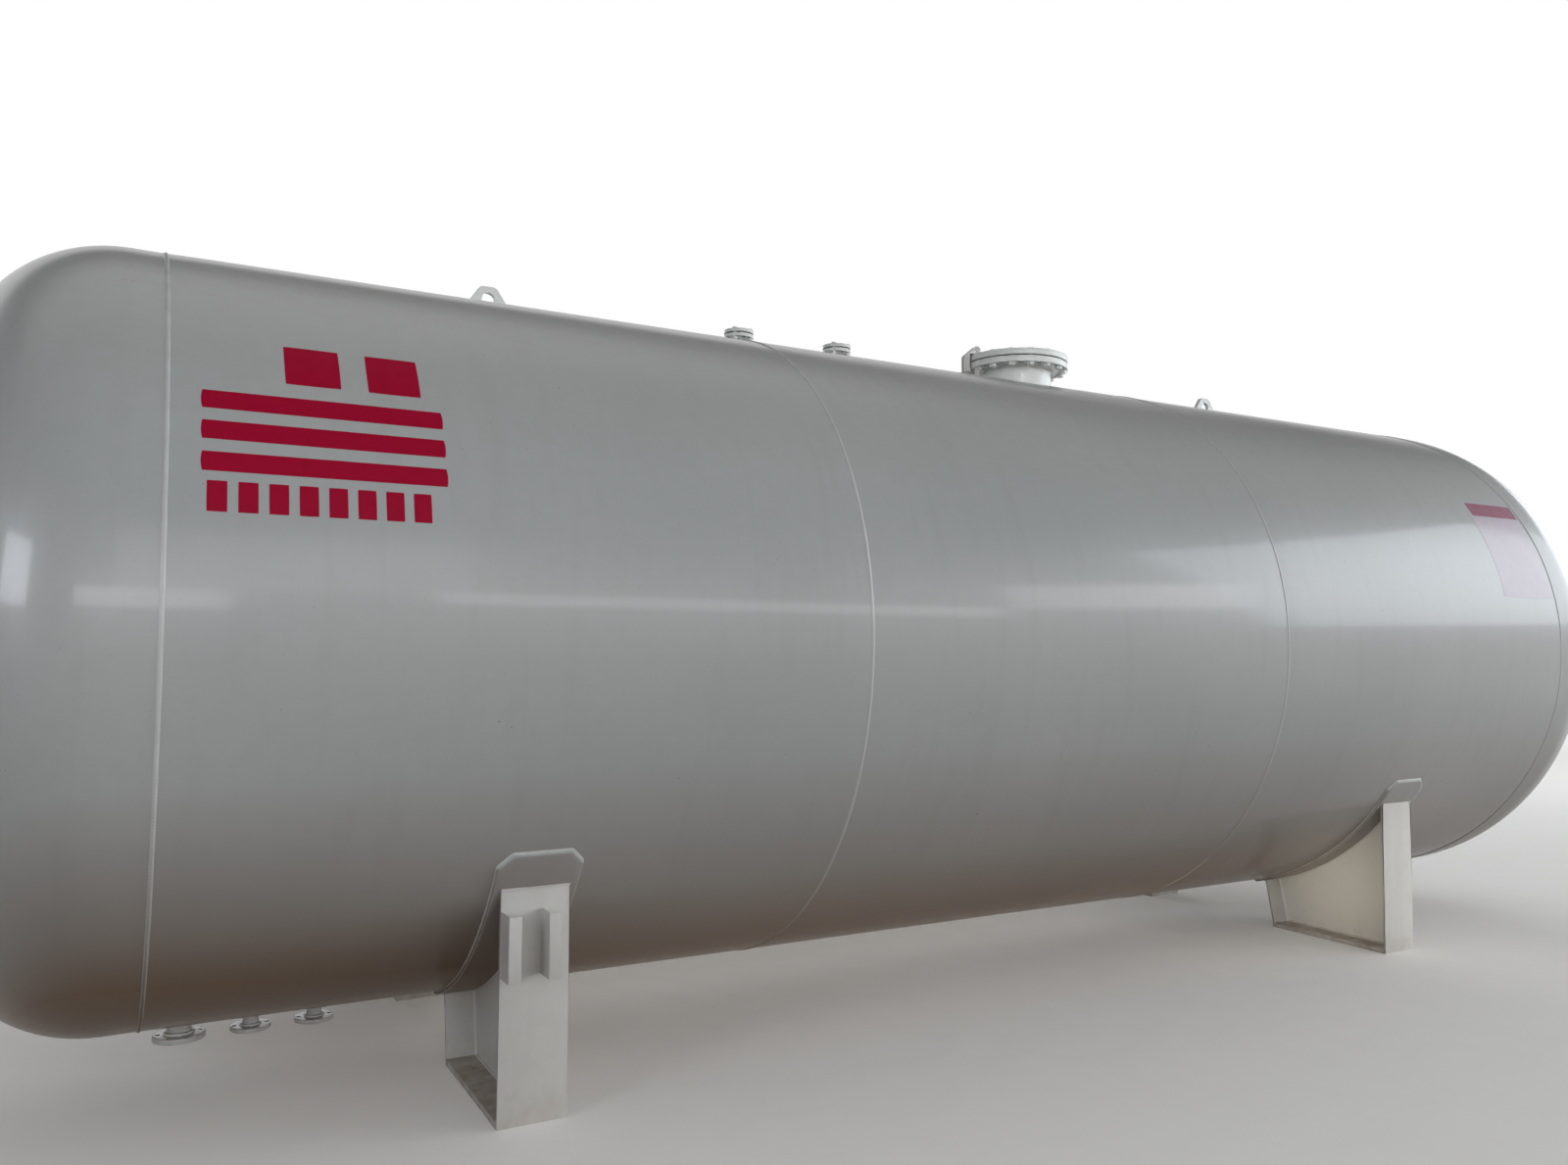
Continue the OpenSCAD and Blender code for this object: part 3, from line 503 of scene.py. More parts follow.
# vessel
vessel = {
    "radius": 1.475, "wall": 0.018, "headWall": 0.020, "course": 2.4384, "axisHeight": 1.690,
    "headSkirt": 0.120, "knuckleRadius": 0.5015, "crownRadius": 2.655,
    "seamDip": 0.0011, "seamDipReach": 0.065, "plateWave": 0.0009,
    "columns": 240, "courseRows": 72, "crowding": 0.7, "pipePatch": 0.03,
    "skirtRows": 8, "knuckleRows": 26, "crownRows": 33,
}
halfShell = 1.5 * vessel["course"]
crestHeight = vessel["axisHeight"] + vessel["radius"]


# Outside radius of the plates at a place along the tank and an angle from the crest towards the
# front: the nominal radius, less a bell-shaped dip at each seam, less slow waves.
def shellRadius(x, angle):
    x, angle = np.broadcast_arrays(np.asarray(x, float), np.asarray(angle, float))
    seams = vessel["course"] * np.array([-1.5, -0.5, 0.5, 1.5])
    dip = np.exp(-((x[..., None] - seams) / vessel["seamDipReach"]) ** 2).sum(-1)
    wave = (np.sin(2.1 * x + 3 * angle + 0.7) + np.sin(3.7 * x - 2 * angle + 2.1)
            + np.sin(1.3 * x + 7 * angle) + np.sin(5.9 * x + 5 * angle + 4.0)) / 4
    return vessel["radius"] - vessel["seamDip"] * dip - vessel["plateWave"] * (0.5 + 0.5 * wave)


# Point on the shell, at a rise above the plate: (x, -r sin angle, axis height + r cos angle).
def onShell(x, angle, rise=0.0):
    radius = shellRadius(x, angle) + rise
    x, angle = np.broadcast_arrays(np.asarray(x, float), np.asarray(angle, float))
    return np.stack([x, -radius * np.sin(angle), vessel["axisHeight"] + radius * np.cos(angle)], -1)


# One course: outer and inner skin as one closed surface of (place, angle), rows closer together
# near the seams. Around a pipe a patch of cells gives way to a sleeve from the patch's edge to the
# pipe's round on the outer skin, through the wall, and back on the inner skin.
def shellCourse(start, end, pipes, top):
    n, rows = vessel["columns"], vessel["courseRows"]
    u = np.linspace(0, 1, rows)
    x = start + (end - start) * (u - vessel["crowding"] * np.sin(2 * np.pi * u) / (2 * np.pi))
    angle = -np.pi / 2 + 2 * np.pi * np.arange(n) / n
    place, around = np.meshgrid(x, angle, indexing="ij")
    skins = np.concatenate([onShell(place, around), onShell(place, around, -vessel["wall"])[::-1]])
    keep = np.ones((2 * rows, n), bool)
    parts = []
    for pipeX, pipeRadius in pipes:
        middle = n // 4 if top else 3 * n // 4
        reach = pipeRadius + vessel["pipePatch"]
        i0, i1 = np.searchsorted(x, pipeX - reach) - 1, np.searchsorted(x, pipeX + reach)
        half = int(np.ceil(np.arcsin(reach / vessel["radius"]) / (2 * np.pi / n)))
        j0, j1 = middle - half, middle + half
        keep[i0:i1, j0:j1] = False
        keep[2 * rows - 1 - i1:2 * rows - 1 - i0, j0:j1] = False
        ii = np.concatenate([np.full(j1 - j0, i0), np.arange(i0, i1), np.full(j1 - j0, i1), np.arange(i1, i0, -1)])
        jj = np.concatenate([np.arange(j0, j1), np.full(i1 - i0, j1), np.arange(j1, j0, -1), np.full(i1 - i0, j0)])
        outer, inner = skins[ii, jj], skins[2 * rows - 1 - ii, jj]
        sleeve = [outer]
        for edge, rise, shares in ((outer, 0.0, (0.5, 1.0)), (inner, -vessel["wall"], (1.0, 0.5))):
            fromPipe = edge[:, :2] - np.array([pipeX, 0])
            ring = pipeRadius * fromPipe / np.linalg.norm(fromPipe, axis=1, keepdims=True)
            for share in shares:
                plan = (1 - share) * fromPipe + share * ring
                a = np.arcsin(-plan[:, 1] / (vessel["radius"] + rise))
                sleeve.append(onShell(pipeX + plan[:, 0], a if top else np.pi - a, rise))
        parts.append(gridPart(np.stack(sleeve + [inner]), wrapColumns=True))
    return [gridPart(skins, wrapRows=True, wrapColumns=True, keep=keep)] + parts


# Dished head: its outline runs along the skirt, round the knuckle and over the crown to the pole,
# back on the inside by the wall, and turns about the tank's axis. On the outside slow waves and
# the seam's dip go inwards, fading out towards the pole.
def dishedHead(end):
    skirt, knuckle, crown = vessel["headSkirt"], vessel["knuckleRadius"], vessel["crownRadius"]
    knuckleCentre = vessel["radius"] - knuckle
    crownCentre = -math.sqrt((crown - knuckle) ** 2 - knuckleCentre ** 2)
    meet = math.atan2(-crownCentre, knuckleCentre)
    a = np.linspace(0, meet, vessel["knuckleRows"])
    b = np.pi / 2 - (np.pi / 2 - meet) * np.linspace(1, 0, vessel["crownRows"] + 1)[1:] ** 1.15
    along = skirt * np.linspace(0, 1, vessel["skirtRows"] + 1)[:-1] ** 1.4
    lines = []
    for inward in (0.0, vessel["headWall"]):
        out = np.concatenate([
            np.stack([along, np.full(len(along), vessel["radius"] - inward)], 1),
            np.stack([skirt + (knuckle - inward) * np.sin(a), knuckleCentre + (knuckle - inward) * np.cos(a)], 1),
            np.stack([skirt + crownCentre + (crown - inward) * np.sin(b), (crown - inward) * np.cos(b)], 1)])
        out[-1, 1] = 0
        lines.append(out)
    facing = np.concatenate([0 * along, a, b])
    n = vessel["columns"]
    angle = -np.pi / 2 + 2 * np.pi * np.arange(n) / n
    x, r = lines[0][:, :1], lines[0][:, 1:]
    fade = np.clip(r / 1.2, 0, 1)
    loss = (vessel["radius"] - shellRadius(end * (halfShell + x), angle)) * fade
    x = x - loss * np.sin(facing)[:, None]
    r = r - loss * np.cos(facing)[:, None]
    outer = np.stack([end * (halfShell + x), -r * np.sin(angle), vessel["axisHeight"] + r * np.cos(angle)], -1)
    x, r = (np.broadcast_to(lines[1][::-1, k:k + 1], (len(facing), n)) for k in (0, 1))
    inner = np.stack([end * (halfShell + x), -r * np.sin(angle), vessel["axisHeight"] + r * np.cos(angle)], -1)
    return gridPart(np.concatenate([outer, inner]), wrapRows=True, wrapColumns=True)


manhole = {
    "x": 0.762, "neckRadius": 0.2032, "neckWall": 0.0127, "neckLow": 3.0928, "faceHeight": 3.310,
    "thickness": 0.0366, "faceRadius": 0.23495, "boltCircle": 0.2699, "rimRadius": 0.29845, "hole": 0.0143,
    "bolts": 16, "gasket": 0.0032, "faceRise": 0.002,
    "bolt": {"flats": 0.0381, "head": 0.0030, "nut": 0.0130, "shank": 0.0127, "tail": 0.004, "washer": 0.0225},
}
topNozzles = {
    "places": (-1.061, -0.474), "faceHeight": 3.247, "gasket": 0.002, "run": 0.115, "bolts": 4, "weld": 0.007,
    "seed": 41,
    "bolt": {"flats": 0.0240, "head": 0.0045, "nut": 0.0130, "shank": 0.0079, "tail": 0.006, "washer": 0.0140},
}
bottomNozzles = {
    "places": {"left": -3.5076, "middle": -3.2506, "right": -3.0106}, "faceHeight": 0.111, "run": 0.137, "bolts": 4,
    "weld": 0.008, "seed": 43,
}
mediumFlange = {"pipeRadius": 0.03015, "bore": 0.0246, "rimRadius": 0.0762, "thickness": 0.0191,
                "faceRadius": 0.04605, "boltCircle": 0.06035, "hole": 0.00955}
largeFlange = {"pipeRadius": 0.04445, "bore": 0.03685, "rimRadius": 0.09525, "thickness": 0.0239,
               "faceRadius": 0.0635, "boltCircle": 0.0762, "hole": 0.00955}
bottomFlanges = {"left": largeFlange, "middle": mediumFlange, "right": mediumFlange}

half = vessel["course"] / 2
belowPipes = [(x, bottomFlanges[side]["pipeRadius"] - 0.001) for side, x in bottomNozzles["places"].items()]
abovePipes = [(x, mediumFlange["pipeRadius"] - 0.001) for x in topNozzles["places"]]
abovePipes.append((manhole["x"], manhole["neckRadius"] - 0.002))
addPiece("skinLeft", shellCourse(-halfShell, -half, belowPipes, False), tankPaint, "shell_course_left")
addPiece("skinMiddle", shellCourse(-half, half, abovePipes, True), tankPaint, "shell_course_middle")
addPiece("skinRight", shellCourse(half, halfShell, [], True), tankPaint, "shell_course_right")
addPiece("headLeft", dishedHead(-1), tankPaint, "head_left")
addPiece("headRight", dishedHead(1), tankPaint, "head_right")
print("shell and heads ready")

welds = {"width": 0.014, "rise": 0.0034, "seamSteps": 2400, "outerAngle": -50, "middleAngle": -72}


def girthWeld(x, seed):
    angle = 2 * np.pi * np.arange(welds["seamSteps"]) / welds["seamSteps"]
    up = np.stack([0 * angle, -np.sin(angle), np.cos(angle)], -1)
    side = np.tile([1.0, 0, 0], (len(angle), 1))
    return buttWeld(onShell(x, angle), up, side, welds["width"], welds["rise"], seed=seed)


def lengthWeld(middle, degrees, seed):
    run = vessel["course"] - welds["width"]
    x = np.linspace(middle - run / 2, middle + run / 2, 640)
    angle = np.full(len(x), math.radians(degrees))
    up = np.stack([0 * angle, -np.sin(angle), np.cos(angle)], -1)
    side = np.stack([0 * angle, -np.cos(angle), -np.sin(angle)], -1)
    return buttWeld(onShell(x, angle), up, side, welds["width"], 0.8 * welds["rise"], closed=False, seed=seed)


addPiece("girthWelds", [girthWeld(k * vessel["course"], 3 + i) for i, k in enumerate((-1.5, -0.5, 0.5, 1.5))],
         weldHighlightAndShadePaint, "girth_welds", sharp=60)
addPiece("lengthWelds", [lengthWeld(middle * vessel["course"], welds[angle], seed) for middle, angle, seed in
                         ((-1, "outerAngle", 11), (0, "middleAngle", 12), (1, "outerAngle", 13))],
         weldHighlightAndShadePaint, "long_seam_welds", sharp=60)


# Saddle weld around a pipe on the shell: at every angle about the pipe the corner lies where the
# pipe meets the shell, one direction goes out along the shell and the other along the pipe.
def saddleWeld(x, radius, leg, top, seed):
    count = max(48, int(2 * np.pi * radius / filletLook["step"]))
    a = 2 * np.pi * np.arange(count) / count
    r = vessel["radius"] - vessel["plateWave"] * 0.5
    y = radius * np.sin(a)
    z = np.sqrt(r ** 2 - y ** 2)
    sign = 1 if top else -1
    corner = np.stack([x + radius * np.cos(a), y, vessel["axisHeight"] + sign * z], -1)
    out = np.stack([np.cos(a), np.sin(a), -sign * np.sin(a) * y / z], -1)
    out /= np.linalg.norm(out, axis=1, keepdims=True)
    along = np.tile([0.0, 0, sign], (count, 1))
    return filletWeld(corner, out, along, leg, closed=True, seed=seed)


# Ring fillet between an upright pipe and a level flange.
def ringWeld(x, radius, height, direction, leg, seed):
    count = max(48, int(2 * np.pi * radius / filletLook["step"]))
    a = 2 * np.pi * np.arange(count) / count
    corner = np.stack([x + radius * np.cos(a), radius * np.sin(a), np.full(count, height)], -1)
    out = np.stack([np.cos(a), np.sin(a), 0 * a], -1)
    return filletWeld(corner, out, np.tile([0.0, 0, direction], (count, 1)), leg, closed=True, seed=seed)


# Level face of a flange with round bolt holes: a ring of (angle, radius) cells. Around each hole a
# patch of cells gives way to rows that blend from the patch's edge to the hole's round, over a
# small chamfer and down the hole to the other face.
def boltedFaces(inner, outer, pitchRadius, hole, count, top, low, steps=12, chamfer=0.0008):
    spread = min(pitchRadius - inner, outer - pitchRadius) * 0.86
    radius = np.concatenate([[inner], pitchRadius + spread * np.linspace(-1, 1, 5), [outer]])
    first = -np.pi / count
    angle = first + 2 * np.pi * np.arange(count * steps) / (count * steps)
    n = len(angle)
    wide = min(max(1, round(spread * 1.1 / (pitchRadius * 2 * np.pi / n))), steps // 2 - 1)
    r, a = np.meshgrid(radius, angle, indexing="ij")
    plan = np.stack([r * np.cos(a), r * np.sin(a)], -1)
    keep = np.ones((len(radius) - 1, n), bool)
    inPatch = np.abs((np.arange(n) % steps) + 0.5 - steps / 2) < wide
    keep[1:5, inPatch] = False
    ii = np.concatenate([np.full(2 * wide, 1), np.arange(1, 5), np.full(2 * wide, 5), np.arange(5, 1, -1)])
    jj = np.concatenate([np.arange(-wide, wide), np.full(4, wide), np.arange(wide, -wide, -1), np.full(4, -wide)])
    middle = steps // 2 + steps * np.arange(count)[:, None]
    edge = plan[ii[None], (middle + jj[None]) % n]
    centre = pitchRadius * np.stack([np.cos(angle[middle]), np.sin(angle[middle])], -1)
    away = edge - centre
    unit = away / np.linalg.norm(away, axis=-1, keepdims=True)
    flat = [edge, centre + 0.5 * (away + (hole + chamfer) * unit), centre + (hole + chamfer) * unit,
            centre + hole * unit]
    rows, heights = flat + flat[::-1], [top] * 3 + [top - chamfer, low + chamfer] + [low] * 3

    def atHeight(points, z):
        return np.concatenate([points, np.full(points.shape[:-1] + (1,), z)], -1)

    sleeves = np.stack([atHeight(row, z) for row, z in zip(rows, heights)], 1)
    parts = [gridPart(atHeight(plan, z), wrapColumns=True, keep=keep) for z in (top, low)]
    return parts + [gridPart(s, wrapColumns=True) for s in sleeves], angle


# Flange disc with its joint face up at height 0: bolted faces on both sides, a rounded rim, and
# the middle outline of (radius, height) points from the front face's inner edge to the back's.
def flangeDisc(sizes, count, middleLine, turnBolts=0.0, edge=0.0022):
    middleLine, rimRadius = np.asarray(middleLine, float), sizes["rimRadius"]
    top, low = -manhole["faceRise"], -sizes["thickness"]
    parts, angle = boltedFaces(middleLine[0, 0], rimRadius - edge, sizes["boltCircle"], sizes["hole"], count, top, low)
    rim = [(rimRadius - edge, top), (rimRadius - 0.3 * edge, top - 0.3 * edge), (rimRadius, top - edge),
           (rimRadius, low + edge), (rimRadius - 0.3 * edge, low + 0.3 * edge), (rimRadius - edge, low)]
    middleLine = softCorners(middleLine, 0.0012, closed=False)
    for line in (rim, middleLine):
        line = np.asarray(line, float)
        grid = np.stack([line[:, :1] * np.cos(angle), line[:, :1] * np.sin(angle),
                         np.broadcast_to(line[:, 1:], (len(line), len(angle)))], -1)
        parts.append(gridPart(grid, wrapColumns=True))
    return copyPart(joinParts(parts), [turnBolts], [(0, 0, 0)])


# Hexagon of a bolt head or nut: radius at an angle = half the flats / cos(angle to the nearest
# flat's middle), cut by a cone at the top so that the corners fall off.
def hexagon(flats, height):
    a = 2 * np.pi * np.arange(24) / 24
    hexRadius = flats / 2 / np.cos((a + np.pi / 6) % (np.pi / 3) - np.pi / 6)
    topRadius = 0.94 * flats / 2
    drop = (hexRadius - topRadius) * math.tan(math.radians(28))
    rows = [(0 * a, 0 * a), (0.8 * hexRadius, 0 * a), (hexRadius, 0 * a), (hexRadius, height - drop),
            (topRadius + 0 * a, height + 0 * a), (0.7 * topRadius + 0 * a, height + 0 * a), (0 * a, height + 0 * a)]
    grid = np.stack([np.stack([r * np.cos(a), r * np.sin(a), z], -1) for r, z in rows])
    return gridPart(grid, wrapColumns=True)


# Bolt through two flanges: washer and head on top, shank, washer and nut below, and a thread end
# whose radius steps in and out along its length.
def boltPart(sizes, low, high):
    washer, shank, tail, thick = sizes["washer"], sizes["shank"], sizes["tail"], 0.003
    disc = turned([(0, 0), (washer - 0.0006, 0), (washer, 0.0006), (washer, 0.0024), (washer - 0.0006, thick),
                   (0, thick)], 24, ring=False)
    turns = np.arange(0, tail - 0.001, shank / 10)
    thread = [(shank * (1 if k % 2 else 0.92), -down) for k, down in enumerate(turns)]
    nutTop = low - thick
    nutLow = nutTop - sizes["nut"]
    line = [(0, high + 0.001), (shank, high + 0.001), (shank, nutLow)]
    line += [(r, nutLow + z) for r, z in thread[1:]] + [(0.82 * shank, nutLow - tail), (0, nutLow - tail)]
    head, nut = hexagon(sizes["flats"], sizes["head"]), hexagon(sizes["flats"], sizes["nut"])
    return joinParts([placePart(disc, (0, 0, high)), placePart(head, (0, 0, high + thick)),
                      placePart(disc, (0, 0, nutTop)), placePart(nut, (0, 0, nutTop), flip=True),
                      turned(line, 24, ring=False)])


def boltRing(bolt, x, circle, count, first, seed):
    angle = first + 2 * np.pi * np.arange(count) / count
    places = np.stack([x + circle * np.cos(angle), circle * np.sin(angle), 0 * angle], -1)
    return copyPart(bolt, np.random.default_rng(seed).uniform(0, 1.05, count), places)


# manhole
m = manhole
faceLow, neckTop = m["faceHeight"] - m["thickness"], m["faceHeight"] - 0.0004
coverLow = m["faceHeight"] + m["gasket"]
coverTop = coverLow + m["thickness"]
neckInside = m["neckRadius"] - m["neckWall"]
neck = softCorners([(neckInside, m["neckLow"]), (m["neckRadius"], m["neckLow"]), (m["neckRadius"], neckTop),
                    (neckInside, neckTop)], 0.002)
addPiece("manholeNeck", [placePart(turned(neck, 128), (m["x"], 0, 0)),
                         saddleWeld(m["x"], m["neckRadius"], 0.013, True, 21),
                         ringWeld(m["x"], m["neckRadius"], faceLow, -1, 0.009, 22)],
         fittingPaintWithPaintedLight, "manhole_neck")


# Middle outline of a flange or cover, from the raised face to its back: down a bore, or at the
# middle of a blind one.
def faceLine(sizes, boreRadius):
    return [(sizes["faceRadius"] + 0.0008, -manhole["faceRise"]), (sizes["faceRadius"], 0), (boreRadius, 0),
            (boreRadius, -sizes["thickness"]), (sizes["faceRadius"] + 0.0008, -sizes["thickness"])]


flange = flangeDisc(m, m["bolts"], faceLine(m, m["neckRadius"]), math.pi / m["bolts"])
addPiece("manholeFlange", placePart(flange, (m["x"], 0, m["faceHeight"])), fittingPaintWithPaintedLight, "manhole_flange")
cover = flangeDisc(m, m["bolts"], faceLine(m, 0), math.pi / m["bolts"])
addPiece("manholeCover", placePart(cover, (m["x"], 0, coverLow), flip=True), fittingPaintWithPaintedLight, "manhole_cover")
manholeBolt = boltPart(m["bolt"], faceLow, coverTop)
addPiece("manholeBolts", boltRing(manholeBolt, m["x"], m["boltCircle"], m["bolts"], 0, 5), fittingPaintWithPaintedLight)

hinge = {"pinX": -0.26045, "pinHeight": coverTop + 0.033, "eye": 0.022, "plate": 0.012, "gap": 0.005, "pin": 0.010,
         "reach": 0.090, "backX": -0.34045, "footHeight": m["faceHeight"] - m["thickness"] - 0.020,
         "shoulder": 0.025, "shoulderHeight": coverTop - 0.018, "clearance": 0.004}
h = hinge


def arcPoints(centre, radius, start, end, count):
    a = np.radians(np.linspace(start, end, count))
    return np.stack([centre[0] + radius * np.cos(a), centre[1] + radius * np.sin(a)], 1)


def atHinge(part):  # the hinge stands between two bolts
    return copyPart(part, [-math.pi / m["bolts"]], [(m["x"], 0, 0)])


# Side outline of a hinge cheek: up beside the flange's rim, out and up around the cover, along the
# straight edge that touches both rounds to the pin's eye, over it to the shoulder, down the back.
def cheekOutline():
    rimX, low, top = -m["rimRadius"], m["faceHeight"] - m["faceRise"], coverTop + h["clearance"]
    shoulder = np.array([h["backX"] + h["shoulder"], h["shoulderHeight"]])
    eye = np.array([h["pinX"], h["pinHeight"]])
    lean = math.degrees(math.atan2(*(eye - shoulder)[::-1]))
    turn = math.degrees(math.acos((h["shoulder"] - h["eye"]) / np.linalg.norm(eye - shoulder)))
    lowRound, highRound = (arcPoints(centre, radius, lean - turn, lean + turn, 17)
                           for centre, radius in ((shoulder, h["shoulder"]), (eye, h["eye"])))
    share = (top - lowRound[0, 1]) / (highRound[0, 1] - lowRound[0, 1])
    return np.concatenate([
        [(rimX + 0.001, h["footHeight"]), (rimX + 0.001, low), (rimX - h["clearance"], low),
         (rimX - h["clearance"], top), (lowRound[0, 0] + share * (highRound[0, 0] - lowRound[0, 0]), top)],
        highRound, arcPoints(shoulder, h["shoulder"], lean + turn, 180, 7), [(h["backX"], h["footHeight"])]])


sideY = h["plate"] / 2 + h["gap"]
addPiece("hingeCheeks", [atHinge(plate(cheekOutline(), low, low + h["plate"], "XZY", corner=0.0015))
                         for low in (sideY, -sideY - h["plate"])], legPaintWithPaintedLight, "cover_hinge_cheeks")
arm = np.concatenate([[(h["pinX"] - h["eye"] * 0.55, coverTop), (h["pinX"] + h["reach"], coverTop),
                       (h["pinX"] + h["reach"], coverTop + h["plate"]), (h["pinX"] + h["eye"], h["pinHeight"])],
                      arcPoints((h["pinX"], h["pinHeight"]), h["eye"], 8, 215, 15)])
armWelds = [atHinge(straightFillet((h["pinX"] - 0.006, y, coverTop), (h["pinX"] + h["reach"] - 0.002, y, coverTop),
                                   (0, math.copysign(1, y), 0), (0, 0, 1), 0.006, seed=31))
            for y in (-h["plate"] / 2, h["plate"] / 2)]
addPiece("hingeArm", [atHinge(plate(arm, -h["plate"] / 2, h["plate"] / 2, "XZY", corner=0.0015))] + armWelds,
         legPaintWithPaintedLight, "cover_hinge_arm")
pinHalf = sideY + h["plate"] + 0.004
pin = turned([(0, -pinHalf), (h["pin"] - 0.0015, -pinHalf), (h["pin"], 0.0015 - pinHalf), (h["pin"], pinHalf - 0.0015),
              (h["pin"] - 0.0015, pinHalf), (0, pinHalf)], 32, ring=False)
pin = (pin[0][:, [0, 2, 1]] + np.array([h["pinX"], 0, h["pinHeight"]]), pin[1])
addPiece("hingePin", atHinge(pin), pinSteel, "cover_hinge_pin")
print("manhole ready")


# nozzles
# Middle outline of a slip-on flange on a pipe: over the raised face, down the bore to the pipe's
# inner end, up the pipe's outside, and round the hub to the flange's back.
def pipeLine(sizes, run):
    pipe, thick, hub = sizes["pipeRadius"], sizes["thickness"], 0.35 * sizes["thickness"]
    faceEdge = sizes["faceRadius"] + 0.0008
    return [(faceEdge, -manhole["faceRise"]), (sizes["faceRadius"], 0), (sizes["bore"], 0), (sizes["bore"], -run),
            (pipe, -run), (pipe, -thick - hub - 0.002), (pipe + 1.2 * hub, -thick - hub), (pipe + 1.5 * hub, -thick),
            (faceEdge, -thick)]


# Flange and pipe on the crest, or upside down under the belly, with the weld around the pipe.
def nozzleParts(sizes, x, row, top):
    stub = flangeDisc(sizes, row["bolts"], pipeLine(sizes, row["run"]))
    return [placePart(stub, (x, 0, row["faceHeight"]), flip=not top),
            saddleWeld(x, sizes["pipeRadius"], row["weld"], top, row["seed"])]


t = topNozzles
blindLow = t["faceHeight"] + t["gasket"]
blind = flangeDisc(mediumFlange, t["bolts"], faceLine(mediumFlange, 0))
smallBolt = boltPart(t["bolt"], t["faceHeight"] - mediumFlange["thickness"], blindLow + mediumFlange["thickness"])
for side, x in zip(("left", "right"), t["places"]):
    addPiece("topNozzle" + side.title(), nozzleParts(mediumFlange, x, t, True), fittingPaintWithPaintedLight, "top_nozzle_" + side)
    addPiece("topBlind" + side.title(), placePart(blind, (x, 0, blindLow), flip=True), fittingPaintWithPaintedLight,
             "top_blind_" + side)
    addPiece("topBolts" + side.title(), boltRing(smallBolt, x, mediumFlange["boltCircle"], t["bolts"], math.pi / 4, 6),
             fittingPaintWithPaintedLight)
for side, x in bottomNozzles["places"].items():
    addPiece("bottomNozzle" + side.title(), nozzleParts(bottomFlanges[side], x, bottomNozzles, False), fittingPaintWithPaintedLight,
             "bottom_nozzle_" + side)
for name in ("manhole_gasket", "top_gaskets"):
    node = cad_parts[name]
    node.data.materials.clear()
    node.data.materials.append(gasketFibre)
print("nozzles ready")

# lifting lugs
lug = {"x": 2.3476, "base": 0.240, "top": 0.072, "rise": 0.129, "thickness": 0.025, "eye": 0.030, "eyeDepth": 0.060}


# Lug: its section goes round in rows from the eye's edge over one face to the outline, across
# the rounded edge, back over the other face and through the eye. Columns go round the outline.
def liftingLug(x):
    w, e = lug["thickness"] / 2, 0.0025
    low = crestHeight - 0.012
    outline = softCorners([(-lug["base"] / 2, low), (lug["base"] / 2, low), (lug["base"] / 2, crestHeight + 0.004),
                           (lug["top"] / 2, crestHeight + lug["rise"]), (-lug["top"] / 2, crestHeight + lug["rise"]),
                           (-lug["base"] / 2, crestHeight + 0.004)], [0.004, 0.004, 0.004, 0.014, 0.014, 0.004])
    centre = np.array([0, crestHeight + lug["rise"] - lug["eyeDepth"]])
    steps = np.linspace(0, 1, 7)[:-1][None, :, None]
    outline = (outline[:, None] * (1 - steps) + np.roll(outline, -1, 0)[:, None] * steps).reshape(-1, 2)
    away = outline - centre
    unit = away / np.linalg.norm(away, axis=1, keepdims=True)
    ring = centre + lug["eye"] * unit
    inset = [insetOutline(outline, d) for d in (3 * e, e, 0.3 * e, 0)]
    face = [centre + (lug["eye"] + 0.002) * unit, centre + (lug["eye"] + 0.006) * unit,
            0.5 * (ring + inset[0]), inset[0], inset[1], inset[2], inset[3]]
    depth = [w, w, w, w, w, w - 0.3 * e, w - e]
    rows = [(ring, w - 0.002)] + list(zip(face, depth))
    rows += [(p, -d) for p, d in rows[::-1]]
    grid = np.stack([np.stack([x + p[:, 0], np.full(len(p), d), p[:, 1]], -1) for p, d in rows])
    return gridPart(grid, wrapRows=True, wrapColumns=True)


def lugWeld(x, side):
    reach, y = lug["base"] / 2, side * lug["thickness"] / 2
    z = vessel["axisHeight"] + math.sqrt(vessel["radius"] ** 2 - y ** 2)
    return straightFillet((x - reach, y, z), (x + reach, y, z), (0, side, 0), (0, 0, 1), 0.010, seed=51)


def lugEndWeld(x, s):  # across the narrow end of the foot
    end, y, z = x + s * lug["base"] / 2, lug["thickness"] / 2, crestHeight - 0.0002
    return straightFillet((end, -y, z), (end, y, z), (s, 0, 0), (0, 0, 1), 0.009, seed=53)


for side, x in (("Left", -lug["x"]), ("Right", lug["x"])):
    foot = [lugWeld(x, -1), lugWeld(x, 1), lugEndWeld(x, -1), lugEndWeld(x, 1)]
    addPiece("lug" + side, [liftingLug(x)] + foot, fittingPaintWithPaintedLight, "lifting_lug_" + side.lower())

# legs
legs = {"x": 2.4576, "width": 0.250, "plate": 0.012, "outerY": 1.200, "footY": 0.488, "topY": 0.440, "base": 0.025,
        "padThickness": 0.012, "padWidth": 0.300, "padTop": 0.93986, "padLowY": 0.380, "padCorner": 0.045,
        "padEdge": 0.003, "padWeld": 0.0085, "weld": 0.007}
padRadius = vessel["radius"] + legs["padThickness"]


def padHeight(y):  # underside of the pad at a distance from the middle plane
    return vessel["axisHeight"] - np.sqrt(padRadius ** 2 - np.square(y))


# Half width of a pad at a height: the full half, less the cut corner's slope near the top.
def padHalf(z):
    return legs["padWidth"] / 2 - np.clip(z - (legs["padTop"] - legs["padCorner"]), 0, legs["padCorner"])


